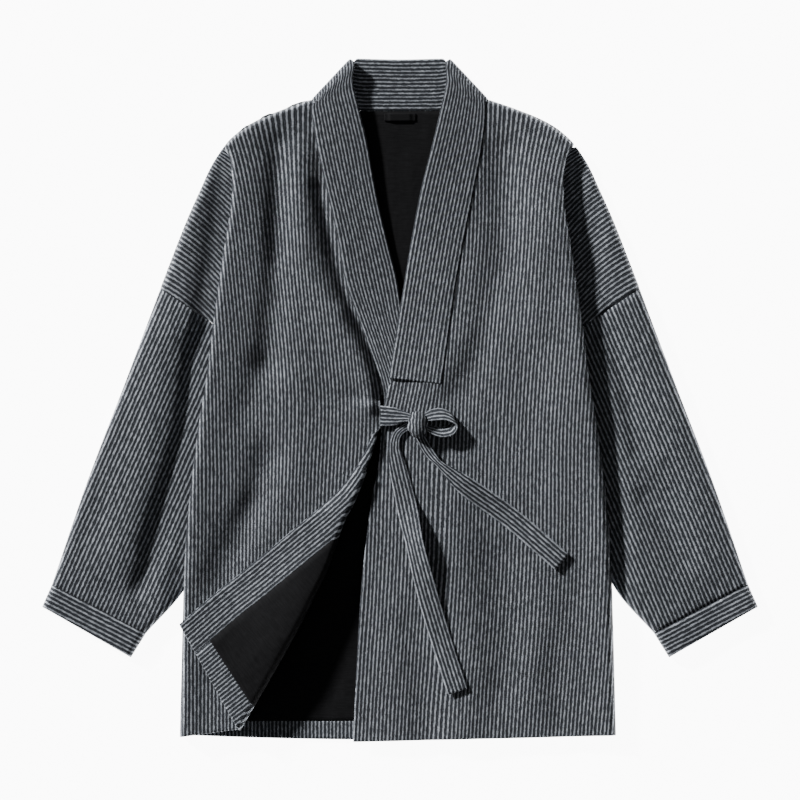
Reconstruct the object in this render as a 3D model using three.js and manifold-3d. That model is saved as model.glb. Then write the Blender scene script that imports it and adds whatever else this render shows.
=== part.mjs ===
// A lined cross-collar hanfu jacket, laid flat on its back with its sleeves drawn down. Its left front
// closes over its right, tied with a half bow, and the lower corner of the right front is turned back.
// Millimetres, +Z up. The jacket rests on z = 0 with its collar towards +Y and its left sleeve towards +X.
// "hand" is +1 for the wearer's left half and -1 for the right half.
import * as THREE from "three";
import Module from "manifold-3d";
import { mergeVertices } from "three/addons/utils/BufferGeometryUtils.js";

const { lerp: mix, smoothstep: ease, clamp, degToRad } = THREE.MathUtils;

// ---------- Driving dimensions ----------

const GAP = 0.3; // between pieces that are sewn or that lie together
const CLOTH = 1.6; // a front's striped cloth
const BACK_CLOTH = 1.2; // the back's striped cloth
const LINING = 1.0;
const BAND = 2.4; // the doubled collar band
const TIE = 2.0; // a tie, sewn as a flat tube

const HEM_Y = -408; // the back's hem at its middle
const HEM_RISE = 6; // how much higher the hem is at the sides
const NECK_Y = 347; // the seam of the back collar
const BODY_SHIFT = -2.5; // how far the body lies towards its right sleeve
const HEM_FACING = 22; // depth of the facing inside a hem
const FRONT_FACING = 39; // width of the facing inside a front's edge

const FRONT_LEVEL = 13.5; // height of a front's cloth in the middle
const INNER_SLOPE = 58; // width over which a front rises from its inner edge
const SIDE_SWELL = 6.5; // how much higher it stands along its side
const SWELL_WIDTH = 26;
const SIDE_ROLL = 11; // width over which it rolls down at its side
const DROP_LEVEL = 8.0; // underside of the drop shoulder where the front's crease lies over it
const DROP_UNDER = 15; // how far the drop shoulder runs on under the crease
const DROP_TOP = 292; // where its hidden edge starts

const ARM_LEVEL = 11.5; // height of a flattened sleeve
const ARM_PRESSED = 6.0; // and of the strip of it that lies under the body
const ARM_ROLL = 8;
const ARM_WALL = 1.4;
const ARM_EDGE = 3.4; // height of a sleeve's folded edges
const CUFF_WALL = 1.8;
const ARM_HIDDEN = 22; // how far from the hidden sleeve the back starts to rise over it
const ARM_CLEAR = 9; // and how far from it the back has risen

const NECK_LEVEL = 1.8; // middle of the band behind the neck
const FOLD_TURN = 6.4; // radius of the collar's turn from the neck to a front
const CORNER_TILT = new THREE.Vector2(0.905, -0.426); // square to the turned corner's fold
const CORNER_PITCH = 0.47; // a row's travel along that fold for each unit round it

// ---------- Tables ----------

// The outline, from the neck over the shoulder and down the arm: distances from the middle.
const OUTLINE = [
  { x: 104, y: 362 },
  { x: 144, y: 348 },
  { x: 176, y: 334 },
  { x: 198, y: 319 },
  { x: 212, y: 304 },
  { x: 226, y: 282 },
  { x: 240, y: 252 },
  { x: 256, y: 216 },
  { x: 288, y: 134 },
  { x: 332, y: 17 },
  { x: 376, y: -98 },
  { x: 418, y: -221 },
];
const SHOULDER_ROWS = 5; // how many of these lie above the crease

// The crease at the armhole, then the body's side, as distances from the body's middle.
const SIDE = [
  { y: 304, x: 210 },
  { y: 290, x: 202 },
  { y: 260, x: 199 },
  { y: 231, x: 200.5 },
  { y: 202, x: 205.5 },
  { y: 164, x: 211.5 },
  { y: 97, x: 221 },
  { y: 24, x: 230.5 },
  { y: -36, x: 240 },
  { y: -99, x: 248 },
  { y: -162, x: 254 },
  { y: -236, x: 257.5 },
  { y: -404, x: 262 },
];

// The inner edge of each sleeve, first under the body, then free down to the cuff.
const ARM_INNER = [
  { x: 222, y: 90 },
  { x: 207, y: 58 },
  { x: 203, y: 5 },
  { x: 208, y: -60 },
  { x: 219, y: -120 },
  { x: 237, y: -180 },
  { x: 260, y: -229 },
  { x: 305, y: -280 },
];
const CUFF_END = { outer: { x: 430, y: -248 }, inner: { x: 323, y: -309 } };

// The inner edge of the left front, part of it under the collar band, and its height there.
const LEFT_INNER = [
  { y: 361, x: 97, top: 11.2 },
  { y: 283, x: 91.8, top: 11.6 },
  { y: 217, x: 78.4, top: 11.4 },
  { y: 156, x: 67.3, top: 10.8 },
  { y: 112, x: 57, top: 9.9 },
  { y: 80, x: 34, top: 9.5 },
  { y: 50, x: 6, top: 9.5 },
  { y: 24, x: -9, top: 9.5 },
  { y: -6, x: -19, top: 10 },
  { y: -75, x: -25, top: 10.8 },
  { y: -123, x: -34, top: 11 },
  { y: -227, x: -46, top: 11 },
  { y: -410, x: -56, top: 10.5 },
];

// The same for the right front, as far down as its turned corner.
const RIGHT_INNER = [
  { y: 361, x: -103, top: 11.2 },
  { y: 326, x: -100, top: 11.6 },
  { y: 292, x: -93, top: 11.6 },
  { y: 230, x: -79.8, top: 11 },
  { y: 180, x: -67.8, top: 9.5 },
  { y: 137, x: -59.5, top: 7.6 },
  { y: 96, x: -46, top: 5.6 },
  { y: 60, x: -33, top: 4.7 },
  { y: 23, x: -20.4, top: 4.6 },
  { y: 9, x: -21.4, top: 4.4 },
  { y: 2, x: -22.6, top: 6 },
  { y: -6, x: -23.5, top: 14 },
  { y: -20, x: -23.5, top: 15 },
  { y: -34, x: -23.8, top: 14.4 },
];

// The collar band on each front, from the turn at the neck down: its seam, its free edge, and the
// height of the free edge's middle.
const LEFT_BAND = [
  { seamX: 102.5, seamY: 352, freeX: 56, freeY: 383, free: 14.2 },
  { seamX: 102, seamY: 333, freeX: 48, freeY: 345, free: 13.6 },
  { seamX: 97.5, seamY: 298, freeX: 38, freeY: 303, free: 12.8 },
  { seamX: 88, seamY: 248, freeX: 25, freeY: 251, free: 12.0 },
  { seamX: 77, seamY: 193, freeX: 14, freeY: 193, free: 11.4 },
  { seamX: 67, seamY: 138, freeX: 4.5, freeY: 136, free: 11.1 },
  { seamX: 60.5, seamY: 95, freeX: -2, freeY: 96, free: 11.1 },
  { seamX: 55, seamY: 56, freeX: -7.6, freeY: 61, free: 11.4 },
  { seamX: 50, seamY: 20, freeX: -13, freeY: 27, free: 11.4 },
];
const RIGHT_BAND = [
  { seamX: -106, seamY: 353, freeX: -57, freeY: 383, free: 14.2 },
  { seamX: -104, seamY: 333, freeX: -49.4, freeY: 349, free: 12.8 },
  { seamX: -98, seamY: 298, freeX: -40, freeY: 311, free: 11 },
  { seamX: -88, seamY: 253, freeX: -28.5, freeY: 247, free: 9 },
  { seamX: -75, seamY: 197, freeX: -15, freeY: 189, free: 7.4 },
  { seamX: -65, seamY: 142, freeX: -4, freeY: 145, free: 6.4 },
  { seamX: -49, seamY: 96, freeX: 3, freeY: 101, free: 6.2 },
  { seamX: -36, seamY: 60, freeX: 13, freeY: 62, free: 6.4 },
  { seamX: -23.4, seamY: 22.8, freeX: 24, freeY: 20, free: 6.2, seamMost: 6.7 },
  { seamX: -18.6, seamY: -5, freeX: 31, freeY: -13, free: 6.0, seamMost: 6.4 },
];

// The band behind the neck, from the middle out to its turn: its free edge and its seam.
const NECK_BAND = [
  { seamX: 0, seamY: 347, freeX: 0, freeY: 409 },
  { seamX: 26, seamY: 347, freeX: 28, freeY: 409.5 },
  { seamX: 48, seamY: 347.5, freeX: 46, freeY: 410 },
  { seamX: 72, seamY: 353, freeX: 53, freeY: 409.5 },
];
const TURN_LINE = { seamX: 104, seamY: 363, freeX: 60.5, freeY: 410 };

// The turned corner of the right front, row by row: where the row leaves the side, the outside of the
// fold, the front's edge after it, and the radius of the fold.
const CORNER = [
  { side: -37, foldX: -24, foldY: -38, edgeX: -29, edgeY: -34, radius: 0.6 },
  { side: -73, foldX: -35, foldY: -73, edgeX: -43, edgeY: -65, radius: 1.2 },
  { side: -120, foldX: -53, foldY: -120, edgeX: -67, edgeY: -102, radius: 2.2 },
  { side: -150, foldX: -67, foldY: -148, edgeX: -87, edgeY: -122, radius: 3 },
  { side: -212, foldX: -89, foldY: -208, edgeX: -129, edgeY: -157, radius: 4.6 },
  { side: -246, foldX: -104, foldY: -239, edgeX: -153, edgeY: -177, radius: 5.6 },
  { side: -292, foldX: -125, foldY: -281, edgeX: -187, edgeY: -205, radius: 7 },
  { side: -344, foldX: -151, foldY: -328, edgeX: -226, edgeY: -236, radius: 8.6 },
  { side: -404, foldX: -185, foldY: -381, edgeX: -264, edgeY: -269, radius: 10 },
];

// The folds that the cloth has fallen into: height at the middle, half width, and the fold's line.
const FOLDS = {
  right: [
    { height: 9, width: 13, line: [[-82, 130], [-69, 98], [-43, 41], [-30, -2]] },
    { height: 3.5, width: 16, line: [[-136, 350], [-134, 175], [-112, 100]] },
    { height: -3.5, width: 15, line: [[-113, 340], [-108, 230], [-95, 186]] },
    { height: -3.5, width: 24, line: [[-164, 300], [-164, 150], [-172, 52]] },
    { height: -3, width: 20, line: [[-172, -90], [-208, -156], [-228, -215]] },
    { height: 4, width: 42, line: [[-110, -240], [-150, -320], [-185, -378]] },
    { height: 2, width: 24, line: [[-120, 20], [-128, -80], [-150, -150]] },
  ],
  left: [
    { height: -3, width: 18, line: [[122, 300], [122, 175], [96, 64], [71, 8]] },
    { height: 3, width: 20, line: [[168, 296], [168, 204], [160, 90]] },
    { height: -2.6, width: 22, line: [[116, -193], [130, -270], [122, -347]] },
    { height: -2.2, width: 20, line: [[10, -270], [30, -340], [34, -405]] },
    { height: 2.4, width: 26, line: [[70, -120], [74, -240], [78, -395]] },
    { height: 2, width: 24, line: [[182, 20], [186, -120], [176, -300]] },
    { height: -2, width: 14, line: [[184, -300], [192, -390]] },
  ],
  rightArm: [
    { height: 3.4, width: 20, line: [[-300, 120], [-334, 2], [-348, -102], [-372, -190]] },
    {
      height: -5,
      width: 11,
      line: [[-226, 240], [-228, 137], [-254, 76], [-262, 2], [-298, -120], [-318, -205]],
    },
    { height: -2, width: 14, line: [[-330, -150], [-352, -220]] },
  ],
  leftArm: [
    { height: 3, width: 22, line: [[286, 130], [320, 0], [352, -110], [378, -200]] },
    { height: -3.4, width: 12, line: [[232, 240], [240, 120], [262, 40], [286, -60]] },
    { height: -3, width: 14, line: [[296, -120], [340, -190]] },
  ],
};

// The ties: the middle of the strip, how high it rides over what it lies on, and its turn about its
// own length in degrees.
const DOWN_TAIL = [
  { x: 20, y: -27, lift: 2.6, turn: 0, half: 7 },
  { x: 9, y: -32, lift: 1.6, turn: 0, half: 8.5 },
  { x: -3, y: -42, lift: 1, turn: 0, half: 10.5 },
  { x: -6, y: -57, lift: 0.4, turn: 0, half: 12 },
  { x: -3, y: -75, lift: 0.1, turn: 0, half: 12 },
  { x: 6, y: -118, lift: 0.1, turn: 0, half: 12 },
  { x: 17.5, y: -172, lift: 4, turn: 30, half: 12 },
  { x: 33, y: -233, lift: 1.6, turn: 8, half: 12 },
  { x: 50, y: -290, lift: 0.1, turn: 0, half: 12 },
  { x: 68.8, y: -349, lift: 1.4, turn: 0, half: 12 },
];
const SLANT_TAIL = [
  { x: 18, y: -38, lift: 2, turn: 0, half: 6 },
  { x: 29.5, y: -55, lift: 2, turn: 0, half: 9.5 },
  { x: 43, y: -71, lift: 2.4, turn: 5, half: 12 },
  { x: 60, y: -88, lift: 4, turn: 32, half: 12 },
  { x: 79, y: -103, lift: 1.8, turn: 5, half: 12 },
  { x: 132, y: -141, lift: 0.1, turn: 0, half: 12 },
  { x: 193.7, y: -194, lift: 2.2, turn: 0, half: 12 },
];
// The strap from the right front's edge to the knot, with its own heights.
const STRAP = [
  { x: -23.1, y: -19, z: 14.2, half: 12 },
  { x: -10, y: -19.5, z: 16.4, half: 11 },
  { x: 2, y: -21, z: 19.2, half: 8.5 },
  { x: 18, y: -24, z: 21.6, half: 6.5 },
];
// The bow's one loop stands on its edge and leans: its middle line.
const LOOP = [
  { x: 24, y: -24, z: 22.8 },
  { x: 40, y: -17, z: 24 },
  { x: 56, y: -17, z: 24.6 },
  { x: 66, y: -26, z: 24.6 },
  { x: 63, y: -38, z: 24.4 },
  { x: 50, y: -41, z: 25.2 },
  { x: 37, y: -36, z: 25.4 },
  { x: 24, y: -30, z: 24.4 },
];
const LOOP_LEAN = degToRad(62);
const LOOP_HALF_WIDTH = 9.5;
const KNOT = {
  x: 21.6,
  y: -29,
  z: 22.4,
  halfX: 12,
  halfY: 15.5,
  halfZ: 8,
  wraps: 9,
  wrapDepth: 0.05,
  slant: 0.5,
  segments: 20,
  rings: 12,
};

// ---------- Reading the tables ----------

// A column of a table at a place between its rows, on a smooth curve through them.
function read(table, by, place, column) {
  const rows = table[0][by] < table.at(-1)[by] ? table : [...table].reverse();
  const last = rows.length - 1;
  if (place <= rows[0][by]) return rows[0][column];
  if (place >= rows[last][by]) return rows[last][column];
  const next = rows.findIndex((row) => row[by] > place);
  const [from, to] = [rows[next - 1], rows[next]];
  const step = to[by] - from[by];
  const slope = (k) => {
    const [a, b] = [rows[Math.max(k - 1, 0)], rows[Math.min(k + 1, last)]];
    return ((b[column] - a[column]) / (b[by] - a[by])) * step;
  };
  const t = (place - from[by]) / step;
  const [square, cube] = [t * t, t * t * t];
  const start = (2 * cube - 3 * square + 1) * from[column] + (cube - 2 * square + t) * slope(next - 1);
  return start + (3 * square - 2 * cube) * to[column] + (cube - square) * slope(next);
}

// The distance from a place to a line of points in the plan.
function distanceTo(line, x, y) {
  let nearest = Infinity;
  for (let k = 1; k < line.length; k += 1) {
    const [a, b] = [line[k - 1], line[k]];
    const [runX, runY] = [b[0] - a[0], b[1] - a[1]];
    const part = ((x - a[0]) * runX + (y - a[1]) * runY) / (runX * runX + runY * runY);
    const t = clamp(part, 0, 1);
    nearest = Math.min(nearest, Math.hypot(x - a[0] - t * runX, y - a[1] - t * runY));
  }
  return nearest;
}

// A smooth curve through plan points, and places on it by its length.
function curveOf(points) {
  const line = points.map(({ x, y, z = 0 }) => new THREE.Vector3(x, y, z));
  return new THREE.CatmullRomCurve3(line, false, "centripetal");
}

const foldHeight = (folds, x, y) =>
  folds.reduce((sum, { height, width, line }) => {
    const away = distanceTo(line, x, y) / width;
    return sum + height * Math.exp(-away * away);
  }, 0);

// The height of a rounded edge, from 0 at the edge to 1 a roll's width in.
const rounded = (inward, roll) => Math.sqrt(1 - (1 - clamp(inward / roll, 0, 1)) ** 2);

// ---------- The shape of the body and the arms ----------

const sideX = (hand, y) => hand * read(SIDE, "y", y, "x") + BODY_SHIFT;
const outlineX = (hand, y) => hand * read(OUTLINE, "y", y, "x");
const bodyEdgeX = (hand, y) => (y > SIDE[0].y ? outlineX(hand, y) : sideX(hand, y));

const bodyEdges = new Map(
  [1, -1].map((hand) => [
    hand,
    [
      ...OUTLINE.slice(0, SHOULDER_ROWS).map(({ x, y }) => [hand * x, y]),
      ...SIDE.slice(1).map(({ x, y }) => [hand * x + BODY_SHIFT, y]),
    ],
  ]),
);
const arms = new Map(
  [1, -1].map((hand) => [hand, OUTLINE.map(({ x, y }) => [hand * x, y])]),
);

// The back's hem, a shallow curve.
const hemY = (x) => HEM_Y + HEM_RISE * ((x - BODY_SHIFT) / SIDE.at(-1).x) ** 2;

// Where the hidden strip of a sleeve starts and ends under the back, each as the two ends of an ease.
const STRIP_TOP = [94, 118];
const STRIP_END = [-262, -238];

// The underside of the back: on the floor, and raised where it passes over the hidden strip of a sleeve.
function backUnder(x, y) {
  const hand = Math.sign(x) || 1;
  const inner = read(ARM_INNER, "y", y, "x");
  const across = ease(hand * x, inner - ARM_HIDDEN, inner - ARM_CLEAR);
  const along = (1 - ease(y, ...STRIP_TOP)) * ease(y, ...STRIP_END);
  return (ARM_PRESSED + GAP) * across * along;
}

const SWELL_START = 10; // how far in from the inner edge a front may begin to stand up
const FOLD_START = 14; // how far in from the inner edge its folds are full

// The top of a front before its side rolls down.
function frontLevel(hand, x, y) {
  const edge = hand > 0 ? LEFT_INNER : RIGHT_INNER;
  const inward = hand * (x - read(edge, "y", y, "x"));
  const inner = read(edge, "y", y, "top");
  const level = mix(inner, FRONT_LEVEL, ease(inward, 0, INNER_SLOPE));
  const away = distanceTo(bodyEdges.get(hand), x, y) / SWELL_WIDTH;
  const swell = SIDE_SWELL * Math.exp(-away * away) * ease(inward, SWELL_START, INNER_SLOPE);
  const fold = foldHeight(hand > 0 ? FOLDS.left : FOLDS.right, x, y);
  return level + swell + fold * ease(inward, 0, FOLD_START);
}

const CREASE_EASE = [92, 100]; // over which the side changes from the back to the drop shoulder
const SHOULDER_EASE = [262, 300]; // over which the drop shoulder comes down to the back

// Where the side of a front comes down to: the drop shoulder, or the side of the back.
function frontFoot(hand, y) {
  const back = backUnder(sideX(hand, y), y) + BACK_CLOTH + GAP;
  const drop = dropUnder(y) + 0.5 * CLOTH;
  return y > ARM_INNER[0].y ? mix(back, drop, ease(y, ...CREASE_EASE)) : back;
}

// The underside of the drop shoulder along the crease.
const dropUnder = (y) => mix(DROP_LEVEL, BACK_CLOTH + GAP, ease(y, ...SHOULDER_EASE));

function frontTop(hand, x, y) {
  const inward = distanceTo(bodyEdges.get(hand), x, y);
  const foot = y > SIDE[0].y ? BACK_CLOTH + GAP : frontFoot(hand, y);
  return mix(foot, frontLevel(hand, x, y), rounded(inward, SIDE_ROLL));
}

const ARM_RISE = [1, 24]; // how far out from the body a sleeve starts to rise and is at its level

// The top of a sleeve: pressed down where the body lies on it, and rolled at its outer edge.
function armTop(hand, x, y) {
  const outward = hand * (x - sideX(hand, y));
  const open = ease(outward, ...ARM_RISE);
  const level = ARM_LEVEL + foldHeight(hand > 0 ? FOLDS.leftArm : FOLDS.rightArm, x, y);
  return mix(ARM_PRESSED, level, open);
}

// ---------- Closed walls and tubes ----------

// Moves every point of a grid along the surface's own normal.
function moved(grid, by) {
  const [lastRow, lastColumn] = [grid.length - 1, grid[0].length - 1];
  return grid.map((row, i) =>
    row.map((point, j) => {
      const across = row[Math.min(j + 1, lastColumn)].clone().sub(row[Math.max(j - 1, 0)]);
      const along = grid[Math.min(i + 1, lastRow)][j].clone().sub(grid[Math.max(i - 1, 0)][j]);
      return point.clone().addScaledVector(across.cross(along).normalize(), by);
    }),
  );
}

// Makes a geometry of points and triangles, with its faces turned outwards.
function closed(points, triangles) {
  let volume = 0;
  for (let k = 0; k < triangles.length; k += 3) {
    const [a, b, c] = [0, 1, 2].map((corner) => points[triangles[k + corner]]);
    volume += a.clone().cross(b).dot(c);
  }
  if (volume < 0) triangles.reverse();
  const geometry = new THREE.BufferGeometry();
  geometry.setFromPoints(points);
  geometry.setIndex(triangles);
  return geometry;
}

// A wall between two grids of the same size, closed along its border.
function wall(face, back) {
  const [rows, columns] = [face.length, face[0].length];
  const triangles = [];
  const quad = (a, b, c, d) => triangles.push(a, b, c, a, c, d);
  const at = (side, i, j) => (side * rows + i) * columns + j;
  for (let i = 0; i + 1 < rows; i += 1) {
    for (let j = 0; j + 1 < columns; j += 1) {
      quad(at(0, i, j), at(0, i, j + 1), at(0, i + 1, j + 1), at(0, i + 1, j));
      quad(at(1, i, j), at(1, i + 1, j), at(1, i + 1, j + 1), at(1, i, j + 1));
    }
    quad(at(0, i, 0), at(0, i + 1, 0), at(1, i + 1, 0), at(1, i, 0));
    const last = columns - 1;
    quad(at(0, i + 1, last), at(0, i, last), at(1, i, last), at(1, i + 1, last));
  }
  for (let j = 0; j + 1 < columns; j += 1) {
    quad(at(0, 0, j + 1), at(0, 0, j), at(1, 0, j), at(1, 0, j + 1));
    quad(at(0, rows - 1, j), at(0, rows - 1, j + 1), at(1, rows - 1, j + 1), at(1, rows - 1, j));
  }
  return closed([...face.flat(), ...back.flat()], triangles);
}

// A tube from rings of points, each ring with an outside and an inside, open right through.
function tube(rings) {
  const count = rings[0].outside.length;
  const points = rings.flatMap(({ outside, inside }) => [...outside, ...inside]);
  const triangles = [];
  const quad = (a, b, c, d) => triangles.push(a, b, c, a, c, d);
  const at = (ring, side, k) => (ring * 2 + side) * count + (k % count);
  for (let k = 0; k < count; k += 1) {
    for (let i = 0; i + 1 < rings.length; i += 1) {
      quad(at(i, 0, k), at(i, 0, k + 1), at(i + 1, 0, k + 1), at(i + 1, 0, k));
      quad(at(i, 1, k), at(i + 1, 1, k), at(i + 1, 1, k + 1), at(i, 1, k + 1));
    }
    const end = rings.length - 1;
    quad(at(0, 0, k + 1), at(0, 0, k), at(0, 1, k), at(0, 1, k + 1));
    quad(at(end, 0, k), at(end, 0, k + 1), at(end, 1, k + 1), at(end, 1, k));
  }
  return closed(points, triangles);
}

const wasm = await Module();
wasm.setup();

function solidOf(geometry) {
  const vertProperties = new Float32Array(geometry.attributes.position.array);
  const triVerts = new Uint32Array(geometry.index.array);
  return new wasm.Manifold(new wasm.Mesh({ numProp: 3, vertProperties, triVerts }));
}

function geometryOf(solid) {
  const { vertProperties, triVerts } = solid.getMesh();
  const geometry = new THREE.BufferGeometry();
  geometry.setAttribute("position", new THREE.BufferAttribute(vertProperties, 3));
  geometry.setIndex(new THREE.BufferAttribute(triVerts, 1));
  return geometry;
}

const joined = (...pieces) => geometryOf(pieces.map(solidOf).reduce((a, b) => a.add(b)));
const cutBy = (piece, cutter) => geometryOf(solidOf(piece).subtract(solidOf(cutter)));

// ---------- Drop shoulders and the back ----------

const DROP_ROWS = 7;
const DROP_COLUMNS = [0, 0.2, 0.4, 0.65, 0.85, 0.95, 1];

// Where the line of the sleeve's seam runs at a distance from the middle.
function seamY(distance) {
  const [outer, inner] = [OUTLINE.at(-4), ARM_INNER[0]];
  return mix(inner.y, outer.y, (distance - inner.x) / (outer.x - inner.x));
}

// The places of a drop shoulder, from its hidden edge under the crease out to the outline, and from
// the shoulder down to the sleeve's seam.
function dropPlaces(hand) {
  const outline = curveOf(OUTLINE.slice(SHOULDER_ROWS - 1, -3).map(({ x, y }) => ({ x: hand * x, y })));
  const lowest = seamY(hand * sideX(hand, ARM_INNER[0].y - DROP_UNDER) - DROP_UNDER);
  const rows = [];
  for (let i = 0; i <= DROP_ROWS; i += 1) {
    const t = i / DROP_ROWS;
    const outer = outline.getPointAt(t);
    const y = mix(DROP_TOP, lowest, t);
    const inner = new THREE.Vector3(sideX(hand, y) - hand * DROP_UNDER, y, 0);
    rows.push(DROP_COLUMNS.map((part) => inner.clone().lerp(outer, part)));
  }
  return rows;
}

const DROP_RISE = [2, 30]; // how far out from the crease the drop shoulder starts to rise and is level
const DROP_EDGE = 0.4; // part of the cloth's thickness that stands at its outline

function frontDrop(hand) {
  const face = dropPlaces(hand).map((row) =>
    row.map(({ x, y }) => {
      const low = dropUnder(y) + CLOTH;
      const outward = hand * (x - sideX(hand, y));
      const level = mix(low, Math.max(armTop(hand, x, y), low), ease(outward, ...DROP_RISE));
      const inward = distanceTo(arms.get(hand), x, y);
      const edge = BACK_CLOTH + GAP;
      return new THREE.Vector3(x, y, mix(edge + DROP_EDGE * CLOTH, level, rounded(inward, ARM_ROLL)));
    }),
  );
  const under = face.map((row) =>
    row.map(({ x, y, z }) => new THREE.Vector3(x, y, Math.max(z - CLOTH, BACK_CLOTH + GAP))),
  );
  return wall(face, under);
}

const BACK_STEPS = [0, 13, 25, 38, 52, 66, 116]; // columns in from the back's side
const NECK_CLEAR = 1.2; // between the back's neck edge and the line of the collar's seam
const NECK_SPREAD = 150; // what those steps are measured against along the neck
const NECK_FLAT = 48; // half of the part of the neck's edge that runs level
const NECK_FALL = 20; // how far past the neck's corners the fall of its edge is aimed
const BACK_ROWS = [HEM_Y, -262, -250, -238, -215, -190, -120, -50, 20, 60, 76, 92, 105, 118];
BACK_ROWS.push(231, 260, 290, 304, 319, 334);

function backPiece() {
  // Each column is its step and a sign for its side, one more than the step so that 0 is the middle.
  const sideColumns = BACK_STEPS.map((step) => step + 1);
  const columns = [...sideColumns.map((column) => -column), 0, ...sideColumns.reverse()];
  const face = BACK_ROWS.map((y) =>
    columns.map((column) => {
      const hand = Math.sign(column) || 1;
      const edge = bodyEdgeX(hand, y);
      const x = column === 0 ? BODY_SHIFT : edge - hand * (Math.abs(column) - 1);
      return new THREE.Vector3(x, y === HEM_Y ? hemY(x) : y, backUnder(x, y) + BACK_CLOTH);
    }),
  );
  const neckHalf = OUTLINE[0].x;
  face.push(
    columns.map((column) => {
      const part = column === 0 ? 0 : Math.sign(column) * (1 - (Math.abs(column) - 1) / NECK_SPREAD);
      const fall = ease(Math.abs(part) * neckHalf, NECK_FLAT, neckHalf + NECK_FALL);
      const y = mix(NECK_Y, OUTLINE[0].y, fall) - NECK_CLEAR;
      return new THREE.Vector3(part * neckHalf, y, BACK_CLOTH);
    }),
  );
  const under = face.map((row) =>
    row.map(({ x, y, z }) => new THREE.Vector3(x, y, Math.max(z - BACK_CLOTH, 0))),
  );
  const drops = [1, -1].map((hand) => {
    const floor = dropPlaces(hand);
    const top = floor.map((row) => row.map(({ x, y }) => new THREE.Vector3(x, y, BACK_CLOTH)));
    return wall(top, floor);
  });
  return joined(wall(face, under), ...drops);
}

// ---------- The fronts ----------

const SIDE_STEPS = [0, 1.2, 4.5, 11, 24, 42]; // columns in from the rolled side

const INNER_COLUMNS = 8;
const INNER_WIDTH = 50; // of the closer columns along the right front's inner edge
const SHOULDER_STEPS = [240, 268, 290, 302, 314, 327, 341, 354];
const LEFT_ROWS = [-402, -360, -310, -262, -238, -200, -150, -100, -50, -10, 24, 50, 75, 100, 128];
LEFT_ROWS.push(165, 205, ...SHOULDER_STEPS);
const RIGHT_ROWS = [-30, -16, -5, 3, 16, 38, 64, 92, 104, 130, 165, 205, ...SHOULDER_STEPS];

const LEFT_DIP = 8; // how much lower the left front's hem is at its front edge
const LEFT_FULL = 90; // width of the left front below which its side columns close up
const RIGHT_FULL = 150; // and of the right front

function leftFront() {
  const hand = 1;
  const face = LEFT_ROWS.map((y, i) => {
    const [inner, outer] = [read(LEFT_INNER, "y", y, "x"), bodyEdgeX(hand, y)];
    const scale = Math.min(1, (outer - inner) / LEFT_FULL);
    const steps = SIDE_STEPS.map((step) => outer - step * scale).reverse();
    const first = steps[0];
    const row = [];
    for (let j = 0; j < INNER_COLUMNS; j += 1) row.push(mix(inner, first, j / INNER_COLUMNS));
    return [...row, ...steps].map((x) => {
      const hem = i === 0 ? -LEFT_DIP * (1 - (x - inner) / (outer - inner)) : 0;
      return new THREE.Vector3(x, y + hem, frontTop(hand, x, y));
    });
  });
  return joined(wall(face, moved(face, -CLOTH)), frontDrop(hand));
}

const FLAP_CLEAR = 1.2; // gaps between the turned part's edge and the front that it lies on
const FLAP_SHORT = 24; // a turned part shorter than this stands up instead of lying down

// One row of the turned corner. Lengths along it are taken from the front's edge: over the turned
// part, round the fold, then under it on the body.
function cornerRow(side) {
  const row = (column) => read(CORNER, "side", side, column);
  const radius = row("radius");
  const lining = CLOTH + INSIDE_GAP + LINING;
  const fold = new THREE.Vector2(row("foldX"), row("foldY"));
  const base = fold.clone().addScaledVector(CORNER_TILT, -(radius + lining));
  const along = new THREE.Vector2(-CORNER_TILT.y, CORNER_TILT.x);
  const edge = new THREE.Vector2(row("edgeX"), row("edgeY"));
  const top = base.clone().addScaledVector(along, CORNER_PITCH * Math.PI * radius);
  const start = new THREE.Vector2(sideX(-1, side), side);
  const flap = edge.distanceTo(top);
  const turn = Math.PI * radius;
  const baseZ = frontTop(-1, base.x, base.y);
  const edgeZ = frontLevel(-1, edge.x, edge.y) + FLAP_CLEAR * GAP;
  const ride = ease(flap, 0, FLAP_SHORT);
  return {
    flap,
    turn,
    body: base.distanceTo(start),
    at(length) {
      if (length < flap) {
        const part = length / flap;
        const place = edge.clone().lerp(top, part);
        const topZ = baseZ + 2 * radius;
        return new THREE.Vector3(place.x, place.y, mix(mix(topZ, edgeZ, ride), topZ, ease(part, 0, 1)));
      }
      if (length < flap + turn) {
        const angle = Math.PI - (length - flap) / radius;
        const place = base.clone().addScaledVector(CORNER_TILT, radius * Math.sin(angle));
        place.addScaledVector(along, CORNER_PITCH * angle * radius);
        return new THREE.Vector3(place.x, place.y, baseZ + radius * (1 - Math.cos(angle)));
      }
      const part = (length - flap - turn) / base.distanceTo(start);
      const place = base.clone().lerp(start, part);
      return new THREE.Vector3(place.x, place.y, frontTop(-1, place.x, place.y));
    },
  };
}

const FACING_COLUMNS = 6;
const INSIDE_COLUMNS = 11;
const BODY_COLUMNS = 5;
const INSIDE_GAP = 0.6; // between the cloth and its lining round the fold
const UNDER_FOLD = 14; // how far the lining runs on under the body past the fold
const TURN_WEIGHT = 55; // length of cloth that a radian of the fold counts as when columns are placed
const CORNER_ROWS = [-404, -392, -381, -355, -325, -295, -265, -235, -210, -190, -180, -171];
CORNER_ROWS.push(-162, -150, -130, -108, -86, -66, -46);
const HEM_ROWS = 3; // how many of these rows the hem's facing takes
const HALVINGS = 30; // of the range in which a column's place is sought

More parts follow.
